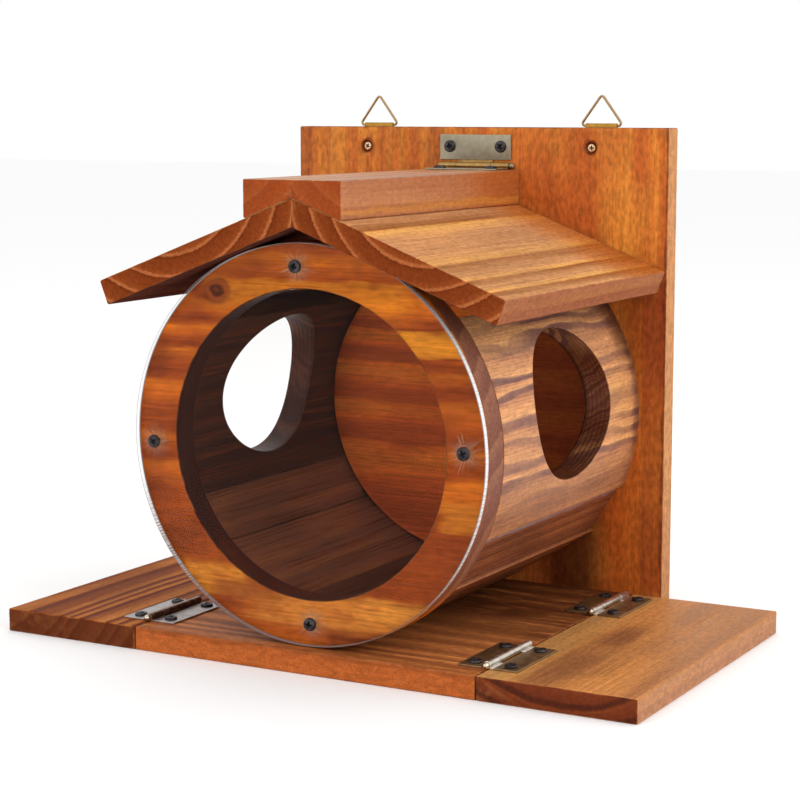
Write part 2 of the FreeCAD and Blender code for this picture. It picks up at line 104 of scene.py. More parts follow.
world = bpy.data.worlds.new("daylight")
world.use_nodes = True
sky = world.node_tree.nodes["Background"].inputs
sky["Color"].default_value = (1.0, 1.0, 1.0, 1.0)
sky["Strength"].default_value = DAYLIGHT
scene.world = world
scene.view_settings.view_transform = "Standard"

sweep_mesh = bpy.data.meshes.new("sweep")
sweep_corners = [(x * SWEEP_HALF, y * SWEEP_HALF, 0) for x, y in ((-1, -1), (1, -1), (1, 1), (-1, 1))]
sweep_mesh.from_pydata(sweep_corners, [], [(0, 1, 2, 3)])
sweep = bpy.data.objects.new("sweep", sweep_mesh)
scene.collection.objects.link(sweep)
sweep_paper = bpy.data.materials.new("sweep_paper")
sweep_paper.use_nodes = True
paper = sweep_paper.node_tree.nodes["Principled BSDF"].inputs
paper["Base Color"].default_value = SWEEP_TONE
paper["Roughness"].default_value = SWEEP_ROUGHNESS
sweep_mesh.materials.append(sweep_paper)
sweep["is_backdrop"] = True


# Centre board of the base
# A planed softwood board with its grain across the feeder. It carries the ring, the back board and
# both wings, and is stained and wiped, so that its front edge keeps a brighter orange.
EASING = 1.1
BOARD_EASING = EASING * 1.05
PLANED_WAVE = 0.05
WORN_CHIP = 0.12
SLOW_WAVE = 55
QUICK_WAVE = 9
WAVES = 12
NET = 3.0
SMOOTH = 5
AXES = {"X": (1, 2, 0), "Y": (0, 2, 1), "Z": (0, 1, 2)}


def tone(code, alpha=1.0):
    """A colour in linear light from its six-figure display code."""
    shares = np.array([int(code[place:place + 2], 16) for place in (0, 2, 4)]) / 255
    linear = np.where(shares <= 0.04045, shares / 12.92, ((shares + 0.055) / 1.055) ** 2.4)
    return (*linear.tolist(), alpha)


def ripple(points, wavelength, seed):
    """A smooth random height at each point: the mean of twelve plane waves with random ways and phases."""
    random = np.random.default_rng(seed)
    ways = random.normal(size=(WAVES, 3))
    ways /= np.linalg.norm(ways, axis=1, keepdims=True)
    lengths = wavelength * random.uniform(0.6, 1.7, WAVES)
    phases = random.uniform(0, 2 * math.pi, WAVES)
    return 2 * np.sin(points @ (ways * (2 * math.pi / lengths)[:, None]).T + phases).mean(axis=-1)


def net_faces(rows, columns, wrap_rows=False):
    """The four corner numbers of each cell of a net whose columns close on themselves."""
    row, column = np.meshgrid(np.arange(rows if wrap_rows else rows - 1), np.arange(columns), indexing="ij")
    next_row = (row + 1) % rows
    next_column = (column + 1) % columns
    corners = (row * columns + column, row * columns + next_column,
               next_row * columns + next_column, next_row * columns + column)
    return np.stack(corners, axis=-1).reshape(-1, 4)


def quarter_round(steps=SMOOTH):
    """A quarter circle in steps of its angle q: rise 1 - cos q, draw 1 - sin q and edge mark sin 2q."""
    angle = np.linspace(0, math.pi / 2, steps)
    return 1 - np.cos(angle), 1 - np.sin(angle), np.sin(2 * angle)


def full_turn(steps):
    """The angles of a full circle in even steps."""
    return np.linspace(0, 2 * math.pi, steps, endpoint=False)


def fan_faces(ring, middle):
    """Triangles from each step of a closed ring of corner numbers to one middle point."""
    return np.stack([ring, np.roll(ring, -1), np.full_like(ring, middle)], axis=-1)


def enclosed(shell):
    """The signed volume of a closed shell: the sum of its faces' wedges about the origin."""
    points, groups = shell[:2]
    total = 0.0
    for group in groups:
        first = points[group[:, 0]]
        for step in range(1, group.shape[1] - 1):
            total += np.einsum("ij,ij->", first, np.cross(points[group[:, step]], points[group[:, step + 1]]))
    return total / 6


def make_piece(name, shells, finishes, node, body="feeder"):
    """A smooth piece of closed shells, each (points in mm, groups of faces, edge, painted shade, finish
    numbers).

    A shell that encloses a negative volume is turned, so that every face looks outwards. The edge and
    painted shade marks of each point go to the finish: how much it is worn, and how much shade is
    painted on it, inside the barrel and in the slots of screws.
    """
    points, corners, sizes, edge, painted_shade, chosen = [], [], [], [], [], []
    start = 0
    for shell in shells:
        turned_in = enclosed(shell) < 0
        for number, group in enumerate(shell[1]):
            ordered = group[:, ::-1] if turned_in else group
            corners.append((ordered + start).ravel())
            sizes.append(np.full(len(group), group.shape[1]))
            chosen.append(np.full(len(group), shell[4][number] if len(shell) > 4 else 0))
        points.append(shell[0])
        edge.append(shell[2])
        painted_shade.append(shell[3])
        start += len(shell[0])
    mesh = bpy.data.meshes.new(name)
    sizes = np.concatenate(sizes)
    mesh.vertices.add(start)
    mesh.vertices.foreach_set("co", (np.concatenate(points) * MM).astype(np.float32).ravel())
    mesh.loops.add(int(sizes.sum()))
    mesh.loops.foreach_set("vertex_index", np.concatenate(corners).astype(np.int32))
    mesh.polygons.add(len(sizes))
    mesh.polygons.foreach_set("loop_start", (np.cumsum(sizes) - sizes).astype(np.int32))
    mesh.polygons.foreach_set("material_index", np.concatenate(chosen).astype(np.int32))
    mesh.polygons.foreach_set("use_smooth", np.ones(len(sizes), dtype=bool))
    mesh.update(calc_edges=True)
    for mark, values in (("edge", edge), ("painted_shade", painted_shade)):
        mesh.attributes.new(mark, "FLOAT", "POINT").data.foreach_set(
            "value", np.concatenate(values).astype(np.float32))
    for finish in finishes:
        mesh.materials.append(finish)
    piece = bpy.data.objects.new(name, mesh)
    scene.collection.objects.link(piece)
    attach(piece, body)
    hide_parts(node)
    return piece


def rounded_outline(corners, rounding, step=NET):
    """An anticlockwise convex outline with rounded corners: its places, outward ways and edge marks.

    Each corner is an arc of the rounding's radius, whose centre lies on the corner's bisector. The
    straight sides are stepped evenly, with closer steps beside the arcs.
    """
    corners = np.array(corners, dtype=float)
    rounding = np.broadcast_to(rounding, len(corners))
    ahead = np.roll(corners, -1, axis=0) - corners
    reach = np.linalg.norm(ahead, axis=1)
    ahead /= reach[:, None]
    outward = np.stack([ahead[:, 1], -ahead[:, 0]], axis=1)
    before = np.roll(outward, 1, axis=0)
    level = (before * outward).sum(axis=1)
    turn = np.arctan2(before[:, 0] * outward[:, 1] - before[:, 1] * outward[:, 0], level)
    centres = corners - (before + outward) * (rounding / (1 + level))[:, None]
    cut = rounding * np.tan(turn / 2)
    places, ways, marks = [], [], []
    share = np.linspace(0, 1, SMOOTH)
    for index, corner in enumerate(corners):
        angle = math.atan2(before[index, 1], before[index, 0]) + share * turn[index]
        way = np.stack([np.cos(angle), np.sin(angle)], axis=1)
        places.append(centres[index] + rounding[index] * way)
        ways.append(way)
        marks.append(np.sin(math.pi * share))
        free = reach[index] - cut[index] - cut[(index + 1) % len(corners)]
        parts = max(2, round(free / step))
        along = np.arange(1, parts) / parts * free
        if free > 2 * step:
            along = np.sort(np.concatenate([along, [0.5, 1.5, free - 1.5, free - 0.5]]))
        places.append(corner + np.outer(cut[index] + along, ahead[index]))
        ways.append(np.tile(outward[index], (len(along), 1)))
        marks.append(np.zeros(len(along)))
    return np.concatenate(places), np.concatenate(ways), np.concatenate(marks)


def carried(outline, axis, start, end, easing=EASING, wave=PLANED_WAVE, chip=WORN_CHIP, seed=1):
    """An outline carried along an axis as a closed shell, its ends eased by a quarter round.

    At a station t from an end the outline is drawn in by easing * (1 - sqrt(1 - (1 - t / easing)^2)),
    the circle's own fall. A slow ripple moves the faces in and out and a quicker one wears the edges.
    """
    places, ways, marks = outline
    rise, draw, mark = quarter_round()
    rise, draw = easing * rise, easing * 0.9 * draw
    count = max(2, round((end - start - 2 * easing) / NET))
    middle = np.linspace(start + easing, end - easing, count + 1)[1:-1]
    along = np.concatenate([start + rise, middle, (end - rise)[::-1]])
    inset = np.concatenate([draw, np.zeros(len(middle)), draw[::-1]])
    end_mark = np.concatenate([mark, np.zeros(len(middle)), mark[::-1]])
    flat = places[None] - inset[:, None, None] * ways[None]
    points = np.zeros((len(along), len(places), 3))
    first, second, third = AXES[axis]
    points[:, :, (first, second)] = flat
    points[:, :, third] = along[:, None]
    edge = np.maximum(marks[None], end_mark[:, None])
    outward = np.zeros((1, len(places), 3))
    outward[0][:, (first, second)] = ways
    worn = chip * edge * np.abs(ripple(points, QUICK_WAVE, seed + 1))
    lift = wave * (ripple(points, SLOW_WAVE, seed) - 1) - worn
    points += lift[:, :, None] * outward
    rows, columns = edge.shape
    caps = np.stack([np.arange(columns)[::-1], (rows - 1) * columns + np.arange(columns)])
    flat_points = points.reshape(-1, 3)
    return [flat_points, [net_faces(rows, columns), caps], edge.ravel(), np.zeros(len(flat_points))]


class Finish:
    """A material built up coat by coat: each method adds nodes and gives back their output."""

    def __init__(self, name, **steady):
        self.material = bpy.data.materials.new(name)
        self.material.use_nodes = True
        self.nodes = self.material.node_tree.nodes
        self.links = self.material.node_tree.links
        self.shader = self.nodes["Principled BSDF"]
        self.paint(**steady)

    def feed(self, socket, value):
        """Links an output to a socket, or sets the socket to a plain value."""
        if isinstance(value, bpy.types.NodeSocket):
            self.links.new(value, socket)
        elif value is not None:
            socket.default_value = value

    def paint(self, **coats):
        """Feeds the shader's own sockets, whose names have underlines here for their spaces."""
        for words, value in coats.items():
            self.feed(self.shader.inputs[words.replace("_", " ")], value)

    def add(self, kind, *values, output=0, **settings):
        """A node of a kind, its inputs fed in order."""
        node = self.nodes.new("ShaderNode" + kind)
        for setting, value in settings.items():
            setattr(node, setting, value)
        for socket, value in zip(node.inputs, values):
            self.feed(socket, value)
        return node.outputs[output]

    def sum(self, operation, *values):
        """One step of arithmetic."""
        return self.add("Math", *values, operation=operation)

    def vector(self, operation, *values, output=0):
        """One step of arithmetic on three coordinates at once."""
        return self.add("VectorMath", *values, operation=operation, output=output)

    def product(self, first, *others):
        """All its values multiplied together."""
        for other in others:
            first = self.sum("MULTIPLY", first, other)
        return first

    def shaded(self, colour, shade):
        """A colour made darker or lighter by a factor."""
        return self.vector("SCALE", colour, None, None, shade)

    def spot(self, shift=(0, 0, 0)):
        """The place on the piece in mm, moved by a shift."""
        return self.add("Mapping", self.add("TexCoord", output=3), shift, None, (1 / MM,) * 3)

    def parts(self, place):
        """The three coordinates of a place."""
        node = self.nodes.new("ShaderNodeSeparateXYZ")
        self.links.new(place, node.inputs[0])
        return node.outputs

    def facing(self, way):
        """The cosine of the angle between the surface's own way out and another way."""
        return self.vector("DOT_PRODUCT", self.add("TexCoord", output=1), way, output=1)

    def mark(self, name):
        """A mark that the mesh carries at each point."""
        return self.add("Attribute", attribute_name=name, output=2)

    def step(self, value, low, high, first=0.0, last=1.0):
        """A soft step from first to last as the value goes from low to high."""
        return self.add("MapRange", value, low, high, first, last, interpolation_type="SMOOTHSTEP")

    def noise(self, place, stretch, detail=2.0, output=0, shift=0.0):
        """Cloudy noise whose grains measure the given lengths, in the place's own unit."""
        squeezed = self.add("Mapping", place, (shift,) * 3, None, [1 / length for length in stretch])
        return self.add("TexNoise", squeezed, None, 1.0, detail, output=output)

    def mix(self, share, under, over, blend="MIX"):
        """One colour laid over another by a share."""
        node = self.nodes.new("ShaderNodeMix")
        node.data_type = "RGBA"
        node.blend_type = blend
        for socket, value in zip((node.inputs[0], node.inputs[6], node.inputs[7]), (share, under, over)):
            self.feed(socket, value)
        return node.outputs[2]

    def ramp(self, value, stops):
        """A colour from a list of places and display codes."""
        node = self.nodes.new("ShaderNodeValToRGB")
        self.feed(node.inputs[0], value)
        marks = node.color_ramp.elements
        marks.remove(marks[1])
        marks[0].position = stops[0][0]
        marks[0].color = tone(stops[0][1])
        for place, code in stops[1:]:
            marks.new(place).color = tone(code)
        return node.outputs[0]

    def window(self, value, low, low_soft, high, high_soft):
        """One between low and high, falling to zero outside over the soft widths."""
        rising = self.step(value, low - low_soft, low + low_soft)
        falling = self.step(value, high - high_soft, high + high_soft, 1.0, 0.0)
        return self.product(rising, falling)

    def bump(self, height, strength, depth):
        """Gives the shader a relief of that depth in metres."""
        node = self.nodes.new("ShaderNodeBump")
        node.inputs["Strength"].default_value = strength
        node.inputs["Distance"].default_value = depth
        self.links.new(height, node.inputs["Height"])
        self.links.new(node.outputs["Normal"], self.shader.inputs["Normal"])


GRAIN_TURN = {"X": (0, -math.pi / 2, 0), "Y": (math.pi / 2, 0, 0), "Z": (0, 0, 0)}
GRAIN_WAY = {"X": (1, 0, 0), "Y": (0, 1, 0), "Z": (0, 0, 1)}
FRONT, BACK, LEFT, RIGHT, UP = (0, -1, 0), (0, 1, 0), (-1, 0, 0), (1, 0, 0), (0, 0, 1)
MIDDLE_GREY = (0.5, 0.5, 0.5)
# Sizes of the noise behind each mark of the wood, in mm: twice across the grain, then along it. Specks
# and rubs are as long as wide, and a tooth's mark lies slanting, longest in its own second direction.
STREAK = (1.1, 1.1, 70)
PORE = (0.34, 0.34, 9)
FLECK = (0.9, 0.9, 8)
MOTTLE = (2.4, 2.4, 4.5)
RAGGED = (5, 5, 26)
SPECK = (0.55,) * 3
RUBBED = (7,) * 3
TOOTH = (0.7, 4.0, 0.7)
KNOT_DARK, KNOT_LIGHT = "3E160A", "8A3E18"
SHADE_WARMTH = "C06C46"


def timber(name, grain, heart, ring, face, end, wander=5.0, swirl=70.0, uneven=0.25, fibre=0.3, washes=(),
           faces=(), patches=(), knots=(), painted_shade="260F0A", worn="B0703C", rough=0.42, shine=0.12, mottled=0.1):
    """Stained softwood, coloured by the distance from the tree's heart line in growth rings.

    Slow noise bends that distance, so that long faces show wavy bands and ends show arcs. Fibres are
    fine noise stretched along the grain, and a knot pushes the rings aside around its own dark rings.
    Washes are clouds of another tone, longer along the grain. Faces are sawn edges with slanting
    teeth marks, and other faces given a tone of their own. Patches say where the stain took
    differently, and some of them are painted shade or painted light. Where the mesh carries the
    painted shade mark, the colour goes nearly black as painted shade.
    """
    coats = Finish(name, Specular_IOR_Level=shine)
    spot = coats.spot()
    across = coats.add("Mapping", coats.vector("SUBTRACT", spot, heart), None, GRAIN_TURN[grain])
    clouds = coats.noise(across, (swirl, swirl, swirl * 3.5), 2.0, output=1)
    bend = coats.vector("SUBTRACT", clouds, MIDDLE_GREY)
    bent = coats.vector("MULTIPLY_ADD", bend, (wander * 2, wander * 2, 0), across)
    radius = coats.vector("LENGTH", coats.vector("MULTIPLY", bent, (1, 1, 0)), output=1)
    apart = coats.vector("SUBTRACT", coats.noise(across, RAGGED, 4.0, output=1), MIDDLE_GREY)
    dark_knots = []
    for centre, size in knots:
        offset = coats.vector("SUBTRACT", spot, centre)
        scaled = coats.vector("MULTIPLY", offset, [1 / length for length in size])
        away = coats.vector("LENGTH", coats.vector("MULTIPLY_ADD", apart, (1.1, 1.1, 1.1), scaled), output=1)
        radius = coats.sum("ADD", radius, coats.step(away, 0.0, 2.6, ring * 0.55, 0.0))
        dark_knots.append(away)
    streak = coats.noise(across, STREAK, 3.0)
    fine = coats.noise(across, PORE, 2.0)
    years = coats.sum("DIVIDE", radius, ring * 2.1)
    slow = coats.add("TexNoise", None, years, 1.0, 0.0, noise_dimensions="1D")
    turns = coats.sum("MULTIPLY_ADD", slow, uneven * 4, coats.sum("DIVIDE", radius, ring))
    phase = coats.sum("FRACT", coats.sum("MULTIPLY_ADD", streak, 0.16, turns))
    colour = coats.ramp(phase, face)
    for number, (code, width, length, share) in enumerate(washes):
        wash = coats.noise(across, (width, width, length), 4.0, shift=7.3 * (number + 1))
        colour = coats.mix(coats.step(wash, 0.44, 0.62, 0.0, share), colour, tone(code))
    slanted = coats.add("Mapping", spot, None, (0.7, 0.5, 0.3))
    teeth = coats.step(coats.noise(slanted, TOOTH, 2.0), 0.35, 0.65, 1 - fibre, 1 + fibre * 0.6)
    sawn_share = 0.0
    for way, code, share in faces:
        here = coats.step(coats.facing(way), 0.55, 0.85, 0.0, share)
        colour = coats.mix(here, colour, coats.shaded(tone(code)[:3], teeth))
        sawn_share = coats.sum("MAXIMUM", sawn_share, here)
    torn = coats.parts(coats.vector("MULTIPLY_ADD", apart, (7, 7, 7), spot))
    for patch in patches:
        share = patch["share"]
        if "way" in patch:
            share = coats.step(coats.facing(patch["way"]), 0.4, 0.8, 0.0, share)
        for number, letter in enumerate("xyz"):
            if letter in patch:
                share = coats.product(coats.window(torn[number], *patch[letter]), share)
        colour = coats.mix(share, colour, tone(patch["tone"]))
    shade = coats.step(streak, 0.3, 0.72, 1 - fibre, 1 + fibre * 0.55)
    pores = coats.step(fine, 0.28, 0.5, 1 - fibre * 1.1, 1.0)
    flecks = coats.step(coats.noise(across, FLECK, 1.0, shift=3.1), 0.62, 0.7, 1.0, 1 - fibre * 1.3)
    mottle = coats.step(coats.noise(across, MOTTLE, 3.0), 0.3, 0.7, 1 - mottled, 1 + mottled * 0.9)
    shade = coats.product(shade, pores, flecks, mottle)
    shade = coats.sum("MULTIPLY_ADD", coats.sum("SUBTRACT", mottle, shade), sawn_share, shade)
    end_share = coats.step(coats.sum("ABSOLUTE", coats.facing(GRAIN_WAY[grain])), 0.55, 0.85)
    speck = coats.noise(spot, SPECK, 2.0)
    dust = coats.product(coats.step(speck, 0.35, 0.7, 1 - fibre * 0.9, 1 + fibre * 0.5), mottle)
    colour = coats.mix(end_share, coats.shaded(colour, shade), coats.shaded(coats.ramp(phase, end), dust))
    for away in dark_knots:
        rings = coats.sum("SINE", coats.sum("MULTIPLY_ADD", away, 8.0, coats.product(streak, 4.0)))
        core = coats.mix(coats.step(rings, -0.8, 0.9), tone(KNOT_DARK), tone(KNOT_LIGHT))
        colour = coats.mix(coats.step(away, 0.7, 1.35, 0.92, 0.0), colour, core)
    # Painted shade: where the mesh is marked (inside the barrel, its hole and top edges), the colour goes to
    # a warmed near-black.
    warmed_shade = coats.mix(0.3, tone(painted_shade), coats.mix(1.0, colour, tone(SHADE_WARMTH), "MULTIPLY"))
    inner = coats.mix(coats.step(streak, 0.3, 0.75), tone(painted_shade), warmed_shade)
    colour = coats.mix(coats.product(coats.mark("painted_shade"), 0.94), colour, inner)
    rub = coats.product(coats.mark("edge"), coats.step(coats.noise(spot, RUBBED, 3.0), 0.42, 0.68, 0.0, 0.5))
    coats.paint(Base_Color=coats.mix(rub, colour, tone(worn)),
                Roughness=coats.step(streak, 0.25, 0.8, rough - 0.07, rough + 0.12))
    grain_relief = coats.sum("MULTIPLY_ADD", phase, 0.25, coats.product(speck, end_share))
    coats.bump(coats.sum("ADD", coats.product(fine, 0.8), grain_relief), 0.22, 0.0002)
    return coats.material


def seat(node):
    """The lowest and highest corner of a frame node, in mm."""
    low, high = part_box(node)
    return np.array(low) / MM, np.array(high) / MM


def board(node, axis, seed):
    """A planed board that fills a node's box: a rounded rectangle carried along its grain."""
    low, high = seat(node)
    first, second, third = AXES[axis]
    corners = [(low[first], low[second]), (high[first], low[second]),
               (high[first], high[second]), (low[first], high[second])]
    return carried(rounded_outline(corners, BOARD_EASING), axis, low[third], high[third], seed=seed)


BASE_TOP = (12, 1, 15, 1)
base_stain = timber(
    "base_stain", "X", (0, 14, -66), 10.5,
    [(0.0, "BE7040"), (0.25, "DC8C4A"), (0.42, "CE7E44"), (0.62, "AE663A"), (0.8, "985630"),
     (0.95, "B4703E")],
    [(0.0, "6A3218"), (0.5, "85431F"), (0.9, "5A2813")],
    wander=4.0, swirl=60.0, fibre=0.28, washes=[("5A2412", 45, 99, 0.45)], rough=0.5, shine=0.06,
    mottled=0.14,
    # The first patch is the barrel's shadow, painted on the rear part of the top.
    patches=[dict(y=(-30, 30, 112, 1), z=BASE_TOP, tone="481E0E", share=0.75),
             dict(y=(-113, 1, -98, 6), z=BASE_TOP, tone="8A4620", share=0.6),
             # Painted light: the top by the ring's lower right is lifted where the barrel's shadow should
             # fall less deep.
             dict(x=(0, 20, 100, 15), y=(-80, 15, 15, 15), z=BASE_TOP, tone="D8864C", share=0.3)],
    faces=[(FRONT, "B25824", 0.85)])
make_piece("centre_board", [board("base_board", "X", 11)], [base_stain], "base_board")


# Back board
# One upright board behind everything, its grain running up. The torch and a bright orange stain have
# left streaks on it and its front right edge dark. Holes are sunk in front for the hanger bolts and
# behind for the frame screws, each given by its radius and depth.
HANGER_HOLE = (4.0, 2.5)
SUNK_HEAD = (4.2, 2.2)
SUNK_HOLE = (4.35, 2.2)
back_low, back_high = seat("back_board")
bolts_low, bolts_high = seat("hanger_bolts")
strap_low, strap_high = seat("right_hanger_strap")
hanger_x = (strap_low[0] + strap_high[0]) / 2
hanger_z = (bolts_low[2] + bolts_high[2]) / 2
edge_low, edge_high = seat("base_back_screws")
disc_screw_low, disc_screw_high = seat("rear_disc_screws")
edge_screws = [(x * (edge_high[0] - SUNK_HEAD[0]), (edge_low[2] + edge_high[2]) / 2) for x in (-1, 0, 1)]
disc_screws = [(x, z) for x in (disc_screw_low[0] + SUNK_HEAD[0], disc_screw_high[0] - SUNK_HEAD[0])
               for z in (disc_screw_low[2] + SUNK_HEAD[0], disc_screw_high[2] - SUNK_HEAD[0])]


def poled(grid, first, last):
    """A shell from rings of points, each ring closed, with one point closing each end."""
    rows, columns = grid.shape[:2]
    points = np.concatenate([grid.reshape(-1, 3), [first, last]])
    ring = np.arange(columns)
    groups = [net_faces(rows, columns), fan_faces(ring[::-1], rows * columns),
              fan_faces((rows - 1) * columns + ring, rows * columns + 1)]
    return [points, groups, np.zeros(len(points)), np.zeros(len(points))]


def spun(radii, heights, steps=48):
    """A profile turned round the upright axis and closed at both ends on the axis.

    A point of the profile goes to (radius cos t, radius sin t, height).
    """
    angle = full_turn(steps)
    radii, heights = np.array(radii, dtype=float), np.array(heights, dtype=float)
    grid = np.stack([np.outer(radii, np.cos(angle)), np.outer(radii, np.sin(angle)),
                     np.outer(heights, np.ones(steps))], axis=-1)
    return poled(grid, (0, 0, heights[0]), (0, 0, heights[-1]))


def laid(shell, ways, place):
    """A shell whose X, Y and Z are turned into three other ways, and whose origin goes to a place."""
    return [shell[0] @ np.array(ways, dtype=float) + np.array(place), *shell[1:]]


def stood(shell, foot, way, turn=0.0):
    """A shell turned about the upright axis, tipped so that the axis points a way, and moved to foot."""
    way = np.array(way, dtype=float)
    side = np.cross(way, (0, 0, 1)) if abs(way[2]) < 0.9 else np.array((1.0, 0, 0))
    side /= np.linalg.norm(side)
    other = np.cross(way, side)
    cos, sin = math.cos(turn), math.sin(turn)
    return laid(shell, [cos * side + sin * other, cos * other - sin * side, way], foot)


def bored(piece, cutters):
    """Cuts closed shells out of a finished piece for good."""
    for shell in cutters:
        tool = bpy.data.objects.new("bit", bpy.data.meshes.new("bit"))
        turn = -1 if enclosed(shell) < 0 else 1
        corners = [face for group in shell[1] for face in group[:, ::turn].tolist()]
        tool.data.from_pydata((shell[0] * MM).tolist(), [], corners)
        scene.collection.objects.link(tool)
        cut = piece.modifiers.new("bore", "BOOLEAN")
        cut.object = tool
        cut.solver = "EXACT"
    solid = piece.evaluated_get(bpy.context.evaluated_depsgraph_get())
    piece.data = bpy.data.meshes.new_from_object(solid)
    tools = [cut.object for cut in piece.modifiers]
    piece.modifiers.clear()
    for tool in tools:
        bpy.data.objects.remove(tool)


back_stain = timber(
    "back_stain", "Z", (60, 190, 0), 13.0,
    [(0.0, "C86C30"), (0.25, "D27830"), (0.45, "DA8636"), (0.6, "CE702E"), (0.8, "C0632A"),
     (0.95, "C4682C")],
    [(0.0, "8A4A22"), (0.5, "A3592A"), (0.9, "6E3518")],
    wander=9.0, swirl=42.0, fibre=0.12, washes=[("E4963E", 26, 80, 0.5), ("A85426", 24, 60, 0.4)],
    rough=0.5, mottled=0.2, worn="5A2A16", shine=0.08,
    faces=[(RIGHT, "BE8656", 0.85), (LEFT, "BE8656", 0.7), (UP, "7A4020", 0.6)],
    patches=[dict(x=(-132, 1, -121.5, 0.8), tone="93482A", share=0.7),
             dict(x=(-108, 1.5, -98, 3), z=(240, 30, 310, 2), tone="DE9840", share=0.45),
             dict(x=(-66, 2, -60, 2.5), z=(240, 30, 310, 2), tone="DC9440", share=0.4),
             dict(x=(-36, 5, -22, 3), z=(230, 30, 310, 2), tone="A4562A", share=0.5),
             dict(x=(96, 8, 120, 6), z=(170, 25, 250, 30), tone="DA8C34", share=0.45),
             dict(x=(104, 5, 134, 2), z=(150, 30, 215, 12), way=FRONT, tone="7C3A1C", share=0.6),
             dict(x=(-125, 2, -20, 8), z=(200, 40, 310, 2), tone="A8602E", share=0.25),
             # Painted shadow of the barrel on the front face, low down under its right side.
             dict(x=(50, 10, 90, 14), z=(12, 3, 84, 22), way=FRONT, tone="4A1A0C", share=0.85),
             dict(x=(92, 10, 116, 3), z=(12, 3, 100, 35), way=FRONT, tone="C85A18", share=0.6),
             dict(x=(116, 2, 134, 1), z=(16, 4, 205, 10), way=FRONT, tone="9E3E1C", share=0.6),
             dict(x=(90, 10, 116, 3), z=(90, 30, 205, 10), way=FRONT, tone="B04A18", share=0.5),
             dict(x=(129.6, 0.8, 134, 1), z=(10, 5, 310, 2), way=FRONT, tone="5E2A18", share=0.7)],
    # The two knots are centred on the hanger holes: they darken each hole's wall and a ring round it.
    knots=[((x, back_low[1], hanger_z), (4.2, 12, 4.8)) for x in (-hanger_x, hanger_x)])
back_piece = make_piece("upright_board", [board("back_board", "Z", 21)], [back_stain],
                        "back_board")


def bit(radius, depth):
    """A cutter for a flat-bottomed hole: a cylinder from just outside the face to the hole's depth."""
    return spun([radius * 0.5, radius, radius, radius * 0.5], [depth, depth, -1.0, -1.0], 40)


holes = [stood(bit(*HANGER_HOLE), (x, back_low[1], hanger_z), BACK) for x in (-hanger_x, hanger_x)]
holes += [stood(bit(*SUNK_HOLE), (x, back_high[1], z), FRONT) for x, z in edge_screws + disc_screws]
bored(back_piece, holes)


# Front ring
# A ring turned from an edge-glued panel with its grain across, standing on the centre board. Its face
# shows the torch's orange and brown bands, and its bore is painted nearly black as the shade inside
# the barrel. The top of its rim has the roof's shadow painted on.
RING_BORE = 88.0
RING_FACE = (-99, 2, -97, 2)
HOOP_STEPS = 240
HOOP_WAVE = 50
ring_low, ring_high = seat("front_ring")
barrel_radius = (ring_high[0] - ring_low[0]) / 2
barrel_z = (ring_low[2] + ring_high[2]) / 2


def turned_hoop(outline, seed):
    """A hoop about the barrel's axis: an outline of (radius, y) carried round a full circle.

    A point goes to (radius cos t, y, axis + radius sin t). Its bore, up to the easing, is marked for
    painted shade.
    """
    places, ways, marks = outline
    shape = (HOOP_STEPS, len(places))
    angle = full_turn(HOOP_STEPS)
    cos, sin = np.cos(angle)[:, None], np.sin(angle)[:, None]
    radius, y = np.broadcast_to(places[:, 0], shape), np.broadcast_to(places[:, 1], shape)
    points = np.stack([radius * cos, y, barrel_z + radius * sin], axis=-1)
    outward = np.stack([ways[:, 0] * cos, np.broadcast_to(ways[:, 1], shape), ways[:, 0] * sin], axis=-1)
    edge = np.broadcast_to(marks, shape)
    worn = WORN_CHIP * edge * np.abs(ripple(points, QUICK_WAVE, seed + 1))
    lift = PLANED_WAVE * (ripple(points, HOOP_WAVE, seed) - 1) - worn
    points = (points + lift[:, :, None] * outward).reshape(-1, 3)
    # The bore is marked for painted shade.
    inside = (radius < RING_BORE + 0.6).astype(float).ravel()
    return [points, [net_faces(*shape, wrap_rows=True)], edge.ravel(), inside]


